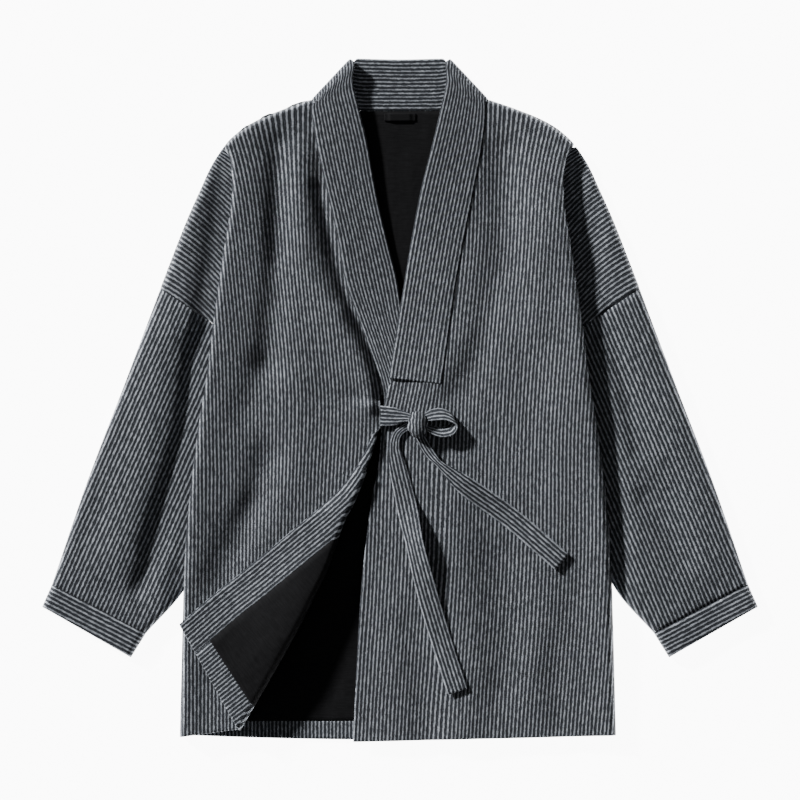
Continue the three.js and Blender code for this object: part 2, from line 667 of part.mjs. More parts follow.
// Even steps between two lengths of a corner row, closer together round its fold.
function spaced(row, from, to, steps) {
  const angleAt = (length) => clamp((length - row.flap) / row.turn, 0, 1) * Math.PI;
  const measure = (length) => length + TURN_WEIGHT * angleAt(length);
  const lengths = [from];
  for (let k = 1; k < steps; k += 1) {
    const aim = mix(measure(from), measure(to), k / steps);
    let [low, high] = [from, to];
    for (let pass = 0; pass < HALVINGS; pass += 1) {
      const half = (low + high) / 2;
      if (measure(half) < aim) low = half;
      else high = half;
    }
    lengths.push(low);
  }
  return [...lengths, to];
}

const facingLengths = (row) => spaced(row, 0, FRONT_FACING, FACING_COLUMNS);
const insideLengths = (row) => {
  const end = Math.max(row.flap + row.turn, FRONT_FACING) + UNDER_FOLD;
  return spaced(row, FRONT_FACING, end, INSIDE_COLUMNS);
};

function rightFront() {
  const turned = CORNER_ROWS.map((side) => {
    const row = cornerRow(side);
    const whole = row.flap + row.turn + row.body;
    const lengths = [...facingLengths(row), ...insideLengths(row).slice(1)];
    const [from, to] = [lengths.at(-1), whole - SIDE_STEPS.at(-1)];
    for (let j = 1; j < BODY_COLUMNS; j += 1) lengths.push(mix(from, to, j / BODY_COLUMNS));
    lengths.push(...SIDE_STEPS.map((step) => whole - step).reverse());
    return lengths.map((length) => row.at(length));
  });
  const inner = FACING_COLUMNS + INSIDE_COLUMNS;
  const flat = RIGHT_ROWS.map((y) => {
    const [start, end] = [read(RIGHT_INNER, "y", y, "x"), bodyEdgeX(-1, y)];
    const scale = Math.min(1, (start - end) / RIGHT_FULL);
    const [edgeWidth, sideWidth] = [INNER_WIDTH * scale, SIDE_STEPS.at(-1) * scale];
    const xs = [];
    for (let j = 0; j < inner; j += 1) xs.push(start - (j / inner) * edgeWidth);
    const [from, to] = [start - edgeWidth, end + sideWidth];
    for (let j = 0; j < BODY_COLUMNS; j += 1) xs.push(mix(from, to, j / BODY_COLUMNS));
    xs.push(...SIDE_STEPS.map((step) => end + step * scale).reverse());
    return xs.map((x) => new THREE.Vector3(x, y, frontTop(-1, x, y)));
  });
  const face = [...turned, ...flat];
  return joined(wall(face, moved(face, CLOTH)), frontDrop(-1));
}

// The pieces that lie on the turned corner's inside: strips between two lengths of its rows, moved
// out from the cloth.
function cornerFace() {
  const rows = CORNER_ROWS.map((side) => {
    const row = cornerRow(side);
    const lengths = [...facingLengths(row), ...insideLengths(row).slice(1)];
    return lengths.map((length) => row.at(length));
  });
  return {
    under: moved(rows, CLOTH + INSIDE_GAP),
    over: moved(rows, CLOTH + INSIDE_GAP + LINING),
  };
}

// A strip of the corner's inside: the grid's rows and columns that it takes, drawn in by a seam's
// gap along the borders that it shares with the other strips.
function insideStrip(corner, [firstRow, lastRow], [firstColumn, lastColumn], seams) {
  const part = (grid) => {
    const rows = grid.slice(firstRow, lastRow + 1).map((row) => row.slice(firstColumn, lastColumn + 1));
    const draw = (point, towards) => {
      const way = towards.clone().sub(point);
      return point.clone().addScaledVector(way, (0.5 * GAP) / way.length());
    };
    let taken = rows.map((row) => row.map((point) => point.clone()));
    const end = taken.length - 1;
    if (seams.includes("first row")) taken[0] = taken[0].map((p, j) => draw(p, rows[1][j]));
    if (seams.includes("last row")) taken[end] = taken[end].map((p, j) => draw(p, rows[end - 1][j]));
    if (seams.includes("first column")) {
      taken = taken.map((row) => [draw(row[0], row[1]), ...row.slice(1)]);
    }
    if (seams.includes("last column")) {
      taken = taken.map((row) => [...row.slice(0, -1), draw(row.at(-1), row.at(-2))]);
    }
    return taken;
  };
  return wall(part(corner.under), part(corner.over));
}

// ---------- Lining and facing inside the back, and the hanger loop ----------

function backInside(rows) {
  const top = BACK_CLOTH + GAP + LINING;
  const face = rows.map(({ y, left, right }) =>
    [0, 0.25, 0.5, 0.75, 1].map((part) => new THREE.Vector3(mix(left, right, part), y, top)),
  );
  return wall(face, moved(face, -LINING));
}

const BACK_LINING = [
  { y: HEM_Y + HEM_FACING + GAP, left: -214, right: -34 },
  { y: -200, left: -190, right: -10 },
  { y: 60, left: -100, right: 20 },
  { y: 200, left: -88, right: 88 },
  { y: 330, left: -96, right: 96 },
  { y: NECK_Y - 2 * GAP, left: -96, right: 96 },
];

const BACK_FACING = [
  { y: HEM_Y, left: -214, right: -34 },
  { y: HEM_Y + HEM_FACING, left: -214, right: -34 },
];

// The hanger loop: a tape sewn down at both ends and standing free between them.
const HANGER = { thickness: 1.1, bottom: 335.5, top: 344 };
const HANGER_STATIONS = [
  { x: -18.5, rise: 0 },
  { x: -12, rise: 1.2 },
  { x: 0, rise: 1.2 },
  { x: 12, rise: 1.2 },
  { x: 18, rise: 0 },
];

function hangerLoop() {
  const level = BACK_CLOTH + LINING + 2 * GAP + HANGER.thickness;
  const face = [HANGER.bottom, HANGER.top].map((y) =>
    HANGER_STATIONS.map(({ x, rise }) => new THREE.Vector3(x, y, level + rise)),
  );
  return wall(face, moved(face, -HANGER.thickness));
}

// ---------- Sleeves and cuffs ----------

// Places across the top of a sleeve: its free part from the outer edge to the body's side, the strip
// from there to the inner edge, and then back along its underside.
const FREE_PLACES = [0, 0.015, 0.045, 0.1, 0.2, 0.34, 0.48, 0.62, 0.74, 0.84, 0.92];
const STRIP_PLACES = [0, 0.5, 0.85, 0.96, 1];
const UNDER_PLACES = [0.97, 0.85, 0.5, 0.12, 0.025];
const STRIP_LEAST = 0.06; // the least of a sleeve's width that the strip takes
const STRIP_MOST = 0.5; // and the most
const STRIP_SEARCH = 0.01; // steps in which the body's side is sought across it
const FULL_WALL = 1.4; // how fast the wall reaches its thickness over the rolled edge

// One cross-section of a sleeve between its outer and inner folded edges.
function armRing(hand, outer, inner, thickness, proud) {
  const width = outer.distanceTo(inner);
  const edgeRoll = (part) => rounded(Math.min(part, 1 - part) * width, ARM_ROLL);
  const inset = (part) => mix(thickness / width, 1 - thickness / width, part);
  const ring = { outside: [], inside: [] };
  const add = (part, height, shift) => {
    const place = outer.clone().lerp(inner, part);
    ring.outside.push(new THREE.Vector3(place.x, place.y, height));
    const inward = outer.clone().lerp(inner, inset(part));
    ring.inside.push(new THREE.Vector3(inward.x, inward.y, height + shift));
  };
  const within = (part) => {
    const { x, y } = outer.clone().lerp(inner, part);
    return hand * (x - sideX(hand, y)) < 0;
  };
  let crossing = 1 - STRIP_LEAST;
  while (crossing > 1 - STRIP_MOST && within(crossing)) crossing -= STRIP_SEARCH;
  const tops = [
    ...FREE_PLACES.map((part) => part * crossing),
    ...STRIP_PLACES.map((part) => mix(crossing, 1, part)),
  ];
  for (const part of tops) {
    const place = outer.clone().lerp(inner, part);
    const top = armTop(hand, place.x, place.y) + proud;
    const roll = edgeRoll(part);
    add(part, mix(ARM_EDGE, top, roll), -thickness * Math.min(1, roll * FULL_WALL));
  }
  for (const part of UNDER_PLACES) {
    const roll = edgeRoll(part);
    add(part, ARM_EDGE * (1 - roll), thickness * Math.min(1, roll * FULL_WALL));
  }
  return ring;
}

const armEdge = (hand, points) => curveOf(points.map(({ x, y }) => ({ x: hand * x, y })));

// A sleeve is made in two tubes, over the upper arm and over the forearm: where each starts and ends
// along it, and its rings.
const ARM_PARTS = [
  { name: "upper", from: 0.0008, to: 0.5195, rings: 6 },
  { name: "lower", from: 0.5205, to: 1, rings: 6 },
];

function sleeve(hand, { from, to, rings }) {
  const outer = armEdge(hand, OUTLINE.slice(-4));
  const inner = armEdge(hand, ARM_INNER);
  const sections = [];
  for (let i = 0; i <= rings; i += 1) {
    const t = mix(from, to, i / rings);
    sections.push(armRing(hand, outer.getPointAt(t), inner.getPointAt(t), ARM_WALL, 0));
  }
  return tube(sections);
}

// The cuff's rings along it, and how much each stands out from the sleeve.
const CUFF_RINGS = [
  { t: 0.014, proud: 0 },
  { t: 0.07, proud: 0.7 },
  { t: 0.5, proud: 0.7 },
  { t: 0.94, proud: 0.7 },
  { t: 1, proud: 0 },
];

function cuff(hand) {
  const outer = armEdge(hand, [OUTLINE.at(-1), CUFF_END.outer]);
  const inner = armEdge(hand, [ARM_INNER.at(-1), CUFF_END.inner]);
  const rings = CUFF_RINGS.map(({ t, proud }) =>
    armRing(hand, outer.getPointAt(t), inner.getPointAt(t), CUFF_WALL, proud),
  );
  return tube(rings);
}

// ---------- The collar ----------

// The band's stations on a front, seam and free edge, with the seam edge riding on the front.
function bandOn(hand) {
  const table = hand > 0 ? LEFT_BAND : RIGHT_BAND;
  return table.map(({ seamX, seamY, freeX, freeY, free, seamMost = Infinity }) => {
    const seamZ = Math.min(frontTop(hand, seamX, seamY) + 3 * GAP + BAND / 2, seamMost);
    return { seam: new THREE.Vector3(seamX, seamY, seamZ), free: new THREE.Vector3(freeX, freeY, free) };
  });
}

const TURN_ANGLES = [0, 60, 120, 180]; // stations round the turn over the shoulder, in degrees

// The half of the band behind the neck, from the middle to the top of its turn over the shoulder.
function bandBehind(hand) {
  const flat = NECK_BAND.map(({ seamX, seamY, freeX, freeY }) => ({
    seam: new THREE.Vector3(hand * seamX, seamY + GAP, NECK_LEVEL),
    free: new THREE.Vector3(hand * freeX, freeY, NECK_LEVEL),
  }));
  const { seamX, seamY, freeX, freeY } = TURN_LINE;
  const line = new THREE.Vector2(freeX - seamX, freeY - seamY).normalize();
  const out = new THREE.Vector2(hand * line.y, -line.x);
  const turned = TURN_ANGLES.map((degrees) => {
    const angle = degToRad(degrees);
    const reach = FOLD_TURN * (Math.sin(angle) - 1) - BAND / 2;
    const height = NECK_LEVEL + FOLD_TURN * (1 - Math.cos(angle));
    const place = (x, y) => new THREE.Vector3(hand * x + reach * out.x, y + reach * out.y, height);
    return {
      seam: place(seamX, seamY),
      free: place(freeX, freeY),
    };
  });
  return [...flat, ...turned];
}

const BAND_COLUMNS = 3;

function collar() {
  const left = [...bandBehind(1), ...bandOn(1)];
  const right = [...bandBehind(-1), ...bandOn(-1)].slice(1);
  const stations = [...right.reverse(), ...left];
  const [seam, free] = ["seam", "free"].map(
    (edge) => new THREE.CatmullRomCurve3(stations.map((station) => station[edge]), false, "centripetal"),
  );
  const count = 2 * (stations.length - 1);
  const middle = [];
  for (let i = 0; i <= count; i += 1) {
    const [a, b] = [seam.getPoint(i / count), free.getPoint(i / count)];
    const row = [];
    for (let j = 0; j <= BAND_COLUMNS; j += 1) row.push(a.clone().lerp(b, j / BAND_COLUMNS));
    middle.push(row);
  }
  return wall(moved(middle, BAND / 2), moved(middle, -BAND / 2));
}

// ---------- The ties ----------

const STRIP_COLUMNS = [-1, -0.4, 0.4, 1]; // across a tie, in half widths

// A flat strip along stations with a middle, a half width and the direction of its width.
function strip(stations, thickness) {
  const middle = stations.map(({ place, across }) =>
    STRIP_COLUMNS.map((part) => place.clone().addScaledVector(across, part)),
  );
  return wall(moved(middle, thickness / 2), moved(middle, -thickness / 2));
}

const TAIL_STEPS = 2;
const TAIL_STEP = 0.1; // either side of a station, to find the way that the tail runs
const TURN_LIFT = 0.6; // part of a turned tail's half width by which it is lifted

// A tail that lies on the left front.
function tail(table) {
  const rows = table.map((row, k) => ({ ...row, k }));
  const stations = [];
  for (let i = 0; i <= TAIL_STEPS * (rows.length - 1); i += 1) {
    const k = i / TAIL_STEPS;
    const at = (column) => read(rows, "k", k, column);
    const run = (column) => read(rows, "k", k + TAIL_STEP, column) - read(rows, "k", k - TAIL_STEP, column);
    const side = new THREE.Vector3(-run("y"), run("x"), 0).normalize();
    const [x, y, half, turn] = [at("x"), at("y"), at("half"), degToRad(at("turn"))];
    const across = side.clone().multiplyScalar(half * Math.cos(turn)).setZ(half * Math.sin(turn));
    const under = [-half, 0, half].map((reach) => frontTop(1, x + reach * side.x, y + reach * side.y));
    const lift = at("lift") + half * Math.abs(Math.sin(turn)) * TURN_LIFT;
    const z = Math.max(...under) + GAP + TIE / 2 + lift;
    stations.push({ place: new THREE.Vector3(x, y, z), across });
  }
  return strip(stations, TIE);
}

function strap() {
  const rows = STRAP.map((row) => ({
    place: new THREE.Vector3(row.x, row.y, row.z),
    across: new THREE.Vector3(0, row.half, 0),
  }));
  return strip(rows, TIE);
}

const LOOP_STEPS = 18;
const LOOP_MIDDLE = new THREE.Vector3(46, -29, 22);

function bowLoop() {
  const line = curveOf(LOOP);
  const stations = [];
  for (let i = 0; i <= LOOP_STEPS; i += 1) {
    const place = line.getPointAt(i / LOOP_STEPS);
    const tangent = line.getTangentAt(i / LOOP_STEPS);
    const out = new THREE.Vector3(tangent.y, -tangent.x, 0).normalize();
    if (out.dot(place.clone().sub(LOOP_MIDDLE)) < 0) out.negate();
    const across = out.multiplyScalar(Math.cos(LOOP_LEAN)).setZ(-Math.sin(LOOP_LEAN));
    stations.push({ place, across: across.multiplyScalar(LOOP_HALF_WIDTH) });
  }
  return strip(stations, TIE);
}

// The knot, a rounded lump with the tie wrapped round it in slanting turns.
function knot(grow) {
  const shape = new THREE.SphereGeometry(1, KNOT.segments, KNOT.rings);
  shape.deleteAttribute("normal");
  shape.deleteAttribute("uv");
  const places = shape.attributes.position;
  for (let k = 0; k < places.count; k += 1) {
    const [x, y, z] = [places.getX(k), places.getY(k), places.getZ(k)];
    const wraps = 1 + KNOT.wrapDepth * Math.cos(KNOT.wraps * (KNOT.slant * x + y));
    places.setXYZ(
      k,
      KNOT.x + x * (KNOT.halfX * wraps + grow),
      KNOT.y + y * (KNOT.halfY * wraps + grow),
      KNOT.z + z * (KNOT.halfZ * wraps + grow),
    );
  }
  return mergeVertices(shape);
}

// ---------- Assembly ----------

const jacket = new THREE.Group();

function add(name, geometry, color, roughness = 0.9) {
  const material = new THREE.MeshStandardMaterial({ color, roughness, metalness: 0 });
  const mesh = new THREE.Mesh(geometry, material);
  mesh.name = name;
  jacket.add(mesh);
}

const STRIPED = 0x5d656d;
const BLACK = 0x0b0b0d;

add("back", backPiece(), STRIPED);
add("back_lining", backInside(BACK_LINING), BLACK);
add("back_hem_facing", backInside(BACK_FACING), STRIPED);
add("hanger_loop", hangerLoop(), BLACK);

for (const [name, hand] of [["left", 1], ["right", -1]]) {
  for (const part of ARM_PARTS) add(`sleeve_${name}_${part.name}`, sleeve(hand, part), STRIPED);
  add(`cuff_${name}`, cuff(hand), STRIPED);
}

add("front_left", leftFront(), STRIPED);
add("front_right", rightFront(), STRIPED);
add("collar", collar(), STRIPED);

const corner = cornerFace();
const hemRow = HEM_ROWS - 1;
const lastRow = CORNER_ROWS.length - 1;
const lastColumn = FACING_COLUMNS + INSIDE_COLUMNS;
const facing = insideStrip(corner, [0, lastRow - 2], [0, FACING_COLUMNS], ["last column"]);
const inner = [FACING_COLUMNS, lastColumn];
const hemFacing = insideStrip(corner, [0, hemRow], inner, ["last row", "first column"]);
const lining = insideStrip(corner, [hemRow, lastRow - 2], inner, ["first row", "first column"]);
add("front_right_facing", facing, STRIPED);
add("front_right_hem_facing", hemFacing, STRIPED);
add("front_right_lining", lining, BLACK);

add("tie_knot", knot(0), STRIPED);
add("tie_strap", cutBy(strap(), knot(GAP)), STRIPED);
add("tie_loop", cutBy(bowLoop(), knot(GAP)), STRIPED);
add("tie_tail_down", cutBy(tail(DOWN_TAIL), knot(GAP)), STRIPED);
add("tie_tail_slant", cutBy(tail(SLANT_TAIL), knot(GAP)), STRIPED);

export default jacket;
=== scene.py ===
"""A lined cross-collar hanfu jacket, laid flat on its back with its sleeves drawn down.

Its left front closes over its right, tied with a half bow, and the lower corner of the right front is
turned back. Shapes are worked out in millimetres on the same values as the CAD solids and written to the
meshes in metres. "hand" is +1 for the wearer's left half, towards +X, and -1 for the right half.
"""

from math import cos, pi, radians, sin, tan

import bpy
import numpy as np
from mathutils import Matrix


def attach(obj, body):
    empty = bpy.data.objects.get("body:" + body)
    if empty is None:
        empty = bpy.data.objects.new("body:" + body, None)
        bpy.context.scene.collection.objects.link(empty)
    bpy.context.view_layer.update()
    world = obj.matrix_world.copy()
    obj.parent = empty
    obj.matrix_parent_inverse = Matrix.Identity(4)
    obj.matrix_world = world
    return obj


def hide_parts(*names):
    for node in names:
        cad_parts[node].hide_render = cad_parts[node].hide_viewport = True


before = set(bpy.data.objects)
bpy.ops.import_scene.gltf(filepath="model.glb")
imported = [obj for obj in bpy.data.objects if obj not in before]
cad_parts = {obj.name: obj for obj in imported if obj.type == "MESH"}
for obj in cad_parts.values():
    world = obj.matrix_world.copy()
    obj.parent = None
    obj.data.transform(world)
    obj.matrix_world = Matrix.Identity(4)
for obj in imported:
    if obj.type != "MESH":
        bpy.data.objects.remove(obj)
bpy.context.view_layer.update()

bl_info = {
    "name": "Hanfu Jacket",
    "version": (1, 0, 0),
    "blender": (4, 5, 0),
    "location": "3D View > Sidebar > Hanfu",
    "description": "Makes a striped, lined cross-collar jacket that lies flat on a pale floor",
    "category": "Object",
}

MM = 0.001

# ---------- Sizes, as in the solids ----------

GAP = 0.3  # between pieces that are sewn or that lie together
CLOTH = 1.6
BACK_CLOTH = 1.2
BACK_TUCK = 2.4  # how far its edge keeps back from the fronts' edge
LINING = 1.0
BAND = 2.4  # the doubled collar band
TIE = 2.0
INSIDE_GAP = 0.6  # between the right front and its lining round the fold

HEM_Y = -408  # the back's hem at its middle
HEM_RISE = 6  # how much higher it is at the sides
HEM_HALF = 262
HEM_CURVE = (-402, -380)  # over which the rows of the back take up the hem's curve
NECK_Y = 347
NECK_HALF = 102
NECK_SLOPE = (48, NECK_HALF + 20)  # over which the back's neck edge climbs to the shoulder
NECK_CLEAR = 1.2  # how far that edge keeps below the collar's seam, past NECK_APART
NECK_APART = (50, 70)
NECK_ROWS = 7
FRONT_TOP = 360.5
BODY_SHIFT = -2.5
HEM_FACING = 22
FRONT_FACING = 39
FRONT_HEM = -402
LINING_HALF = 96  # at the neck
HEM_FACING_SPAN = (-250, -34)

# The hanger loop: half its length, its lower and upper edge, how high it stands and where it is
# sewn down, and the thickness of its tape.
LOOP_HALF, LOOP_SPAN = 18.5, (335.5, 344)
LOOP_RISE, LOOP_SEWN = 1.3, (11, 16)
TAPE = 1.1

FRONT_LEVEL = 13.5
INNER_SLOPE = 58  # how far in from its inner edge a front reaches its full height
SWELL_START = 10  # how far in its swell begins, and its folds are at their full height
FOLD_START = 14
SIDE_ROLL = {1: 7.0, -1: 5.5}
SHOULDER_ROLL = 5
ROLL_CHANGE = (260, 310)  # where the side's roll becomes the shoulder's
FOOT_CHANGE = (92, 100)  # where a front's side leaves the back for the drop shoulder
TUCK_TOP, TUCK_END = (94, 118), (-262, -238)  # where the back's rise over the sleeves fades out

# The drop shoulder: heights, the strip under the front, the distance over which it reaches the
# sleeve's height, the depth and width of its seam and the least height that has one, its grid and
# the slope of its stripes.
DROP_LEVEL = 7.6
DROP_HOLLOW = 3.4
DROP_DIP, DROP_THIN = (112, 160), (262, 300)
DROP_UNDER = 15
DROP_TOP = 298
DROP_RISE = 46
DROP_SEAM, DROP_SEAM_WIDTH, DROP_SEAM_LEAST = 0.9, 3, 3
DROP_GRID = (60, 26)
DROP_SLOPE, DROP_BEND, DROP_COUNT = 0.95, 0.0034, 0.76

ARM_LEVEL = 11.5
ARM_PRESSED = 6.0
ARM_RISE = {1: 34, -1: 30}  # how far out from the body it reaches its full height
ARM_ROLL = 8
ARM_WALL = 1.4
ARM_EDGE = 3.4
ARM_LENGTH = 420
ARM_SEAM, ARM_SEAM_WIDTH = 1.1, 3.5  # how far a sleeve sinks at its seams
CUFF_WALL = 1.8
CUFF_PROUD, CUFF_SUNK = 1.5, 0.9  # the cuff's crown over its own sewn edges
ARM_HIDDEN = 22
ARM_CLEAR = 9
SLEEVE_LEAN = {1: radians(-23), -1: radians(24)}
SLEEVE_COUNT = 0.9  # the sleeves' stripes stand a little wider

NECK_LEVEL = 1.8
FOLD_TURN = (5.0, 6.4)  # radius of the collar's turn, at its seam and at its free edge
CORNER_TILT = np.array([0.905, -0.426])
CORNER_PITCH = 0.47
LEFT_DIP = 8  # how far the left front's hem falls at its inner edge, fading out over DIP_END
DIP_END = (-402, -350)
FACING_COLUMNS = 14
INSIDE_COLUMNS = 34
UNDER_FOLD = 14  # how far the lining runs on past the fold
TURN_WEIGHT = 55  # length of cloth that a radian of the fold counts as when columns are placed
HEM_STRIP_TOP, CORNER_TOP = -381, -87  # where the inside's hem facing and lining end

# Columns in from the side of a front, of which the last comes down inside the outline.
SIDE_STEPS = np.array([42, 33, 25, 18, 13, 9, 6.5, 4.5, 2.8, 1.5, 0.6, 0, 0.7])
LEFT_TAPER, RIGHT_TAPER = 90, 150  # widths of a front under which those columns close up
RIGHT_EDGE = 50  # of the right front's width, taken by the columns of its facing and lining
BODY_COLUMNS = 26

# Columns across a strip of the tie, as parts of its half width.
STRIP = np.array([-1, -0.96, -0.88, -0.72, -0.5, -0.25, 0, 0.25, 0.5, 0.72, 0.88, 0.96, 1])
STRIP_ROLL, BAND_ROLL = 3.5, 7
ROLL_THIN = 0.45  # of a doubled strip's thickness, left at its edge

LUMPS = ((34, 70, 3, 1), (13, 26, 7, 0.35))  # across, along, seed and part of the cloth's unevenness
RIM_BULGE = 0.8
# how far in from a piece's edge, in mm, the painted highlight along its edges reaches
EDGE_HIGHLIGHT_REACH = 3

# ---------- Tables and curves ----------


def mix(a, b, part):
    return a + (b - a) * part


def ease(value, start, end):
    """0 before start and 1 after end, smooth in between."""
    t = np.clip((value - start) / (end - start), 0, 1)
    return t * t * (3 - 2 * t)


def unit(vectors):
    length = np.linalg.norm(vectors, axis=-1, keepdims=True)
    return vectors / np.maximum(length, 1e-9)


def hermite(t, a, b, slope_a, slope_b):
    square, cube = t * t, t * t * t
    rising = 3 * square - 2 * cube
    return (1 - rising) * a + rising * b + (cube - 2 * square + t) * slope_a + (cube - square) * slope_b


class Table:
    """Rows of numbers with named columns. The first column says where a row stands."""

    def __init__(self, names, *rows):
        self.names = names.split()
        values = np.array(rows, float)
        self.rows = values if values[0, 0] < values[-1, 0] else values[::-1]

    def at(self, name, place):
        """A column at places between the rows, on a smooth curve through them."""
        key, value = self.rows[:, 0], self.rows[:, self.names.index(name)]
        last = len(key) - 1
        after, before = np.minimum(np.arange(last + 1) + 1, last), np.maximum(np.arange(last + 1) - 1, 0)
        slope = (value[after] - value[before]) / (key[after] - key[before])
        place = np.clip(place, key[0], key[-1])
        b = np.clip(np.searchsorted(key, place, side="right"), 1, last)
        a = b - 1
        step = key[b] - key[a]
        return hermite((place - key[a]) / step, value[a], value[b], slope[a] * step, slope[b] * step)


def on_curve(points, places):
    """Points on a smooth curve at places counted in stations."""
    line = np.array(points, float)
    line = np.vstack([2 * line[0] - line[1], line, 2 * line[-1] - line[-2]])
    gap = np.sqrt(np.linalg.norm(np.diff(line, axis=0), axis=1))[:, None]
    k = np.clip(np.floor(places).astype(int), 0, len(points) - 2)
    a, b, c, d = line[k], line[k + 1], line[k + 2], line[k + 3]
    g0, g1, g2 = gap[k], gap[k + 1], gap[k + 2]
    start = ((b - a) / g0 - (c - a) / (g0 + g1) + (c - b) / g1) * g1
    end = ((c - b) / g1 - (d - b) / (g1 + g2) + (d - c) / g2) * g1
    return hermite((places - k)[:, None], b, c, start, end)


def along_curve(points, parts):
    """Points on a smooth curve at parts of its length."""
    places = np.linspace(0, len(points) - 1, 40 * len(points))
    line = on_curve(points, places)
    length = run_along(line)
    return np.stack([np.interp(np.asarray(parts) * length[-1], length, column) for column in line.T], -1)


def run_along(line):
    """The length of a line of points up to each of them."""
    return np.concatenate([[0], np.cumsum(np.linalg.norm(np.diff(line, axis=0), axis=1))])


def distance_to(line, x, y):
    """The distance from places to a line of points in the plan."""
    nearest = np.full(np.shape(x), np.inf)
    for (ax, ay), (bx, by) in zip(line, line[1:]):
        run_x, run_y = bx - ax, by - ay
        t = np.clip(((x - ax) * run_x + (y - ay) * run_y) / (run_x**2 + run_y**2), 0, 1)
        nearest = np.minimum(nearest, np.hypot(x - ax - t * run_x, y - ay - t * run_y))
    return nearest


def rounded(inward, roll):
    """The height of a rounded edge, from 0 at the edge to 1 a roll's width in."""
    return np.sqrt(1 - (1 - np.clip(inward / roll, 0, 1)) ** 2)


UNEVEN = np.random.default_rng(11).uniform(-1, 1, (97, 97))


def ripple(x, y, seed):
    """A smooth unevenness from -1 to 1 whose lumps are 1 across."""
    u, v = x + 17.3 * seed, y + 29.7 * seed
    i, j = np.floor(u).astype(int), np.floor(v).astype(int)
    s, t = ease(u - i, 0, 1), ease(v - j, 0, 1)
    lump = lambda a, b: UNEVEN[a % 97, b % 97]
    return mix(mix(lump(i, j), lump(i + 1, j), s), mix(lump(i, j + 1), lump(i + 1, j + 1), s), t)


# The outline, from the neck over the shoulder and down the arm: distances from the middle.
OUTLINE = Table(
    "y x",
    (362, 104), (348, 144), (334, 176), (319, 198), (304, 212), (282, 226),
    (252, 240), (216, 256), (134, 288), (17, 332), (-98, 376), (-221, 418),
)
SHOULDER_ROWS = 5

# The crease at the armhole, then the body's side, as distances from the body's middle.
SIDE = Table(
    "y x",
    (304, 210), (290, 202), (260, 199), (231, 200.5), (202, 205.5), (164, 211.5), (97, 221),
    (24, 230.5), (-36, 240), (-99, 248), (-162, 254), (-236, 257.5), (-404, 262),
)
CREASE_TOP = 304

# The inner edge of each sleeve, first under the body, then free down to the cuff.
ARM_INNER = Table(
    "y x",
    (82.2, 210.4), (58, 205), (5, 203), (-60, 208), (-120, 219), (-180, 237), (-229, 260), (-280, 305),
)
CUFF_OUTER, CUFF_INNER = (430, -248), (323, -309)
ARM_OUTER_ROWS = 4

LEFT_INNER = Table(
    "y x top",
    (361, 97, 11.2), (283, 91.8, 11.6), (217, 78.4, 11.4), (156, 67.3, 10.8), (112, 57, 9.9),
    (80, 34, 9.5), (50, 6, 9.5), (24, -9, 9.5), (-6, -19, 10), (-75, -25, 10.8),
    (-123, -34, 11), (-227, -46, 11), (-410, -56, 10.5),
)
RIGHT_INNER = Table(
    "y x top",
    (361, -103, 11.2), (326, -100, 11.6), (292, -93, 11.6), (230, -79.8, 11), (180, -67.8, 9.5),
    (137, -59.5, 7.6), (96, -46, 5.6), (60, -33, 4.7), (23, -20.4, 4.6), (9, -21.4, 4.4),
    (2, -22.6, 6), (-6, -23.5, 14), (-20, -23.5, 15), (-34, -23.8, 14.4),
)

# The collar band on each front, from the turn at the neck down: its seam, its free edge, and the
# height of the free edge's middle.
LEFT_BAND = [
    (102.5, 352, 56, 383, 15.2), (102, 333, 48, 345, 15.6), (97.5, 298, 38, 303, 15),
    (88, 248, 25, 251, 13.4), (77, 193, 14, 193, 11.8), (67, 138, 4.5, 136, 11.1),
    (60.5, 95, -2, 96, 11.1), (55, 56, -7.6, 61, 11.4), (50, 20, -13, 27, 11.4),
]
RIGHT_BAND = [
    (-106, 353, -57, 383, 14.2), (-104, 333, -49.4, 349, 12.8), (-98, 298, -40, 311, 11),
    (-88, 253, -28.5, 247, 9), (-75, 197, -15, 189, 7.4), (-65, 142, -4, 145, 6.4),
    (-49, 96, 3, 101, 6.2), (-36, 60, 13, 62, 6.4), (-23.4, 22.8, 24, 20, 6.2),
    (-18.6, -5, 31, -13, 6),
]
SEAM_RISE = 0.1  # of the band's middle over the front that it is sewn to
RIGHT_SEAM_MOST = (6.7, 6.4)  # the most height of that band's seam at its last two stations

NECK_BAND = [(0, 347, 0, 409), (26, 347, 28, 409.5), (48, 347.5, 46, 410), (72, 353, 53, 409.5)]
TURN_SEAM, TURN_FREE = np.array([106.5, 361]), np.array([60.5, 410])
TURN_ANGLES = (0, 60, 120, 180)
TURN_SHEAR = 14.8  # how far a stripe runs along the fold line while it goes over the turn
BAND_CUT = 63

# The turned corner of the right front: where a row leaves the side, the outside of the fold, the
# front's edge after it, and the radius of the fold.
CORNER = Table(
    "side foldX foldY edgeX edgeY radius",
    (-37, -24, -38, -29, -34, 0.6), (-73, -35, -73, -43, -65, 1.2), (-120, -53, -120, -67, -102, 2.2),
    (-150, -67, -148, -87, -122, 2.8), (-212, -89, -208, -129, -157, 4),
    (-246, -104, -239, -153, -177, 4.6), (-292, -125, -281, -187, -205, 5.2),
    (-344, -153, -331, -226, -236, 5.4), (-404, -192, -398, -264, -269, 3.6),
)

# How much each front stands up beside its side edge, and how far in that reaches.
SWELL = Table(
    "y left right width",
    (340, 0, 0, 24), (310, 3, 2, 26), (270, 7, 4.5, 34), (210, 10, 6, 42), (100, 12, 6.5, 46),
    (0, 12, 6.5, 46), (-100, 9.5, 6.5, 42), (-240, 5.5, 6, 32), (-404, 3, 4, 26),
)

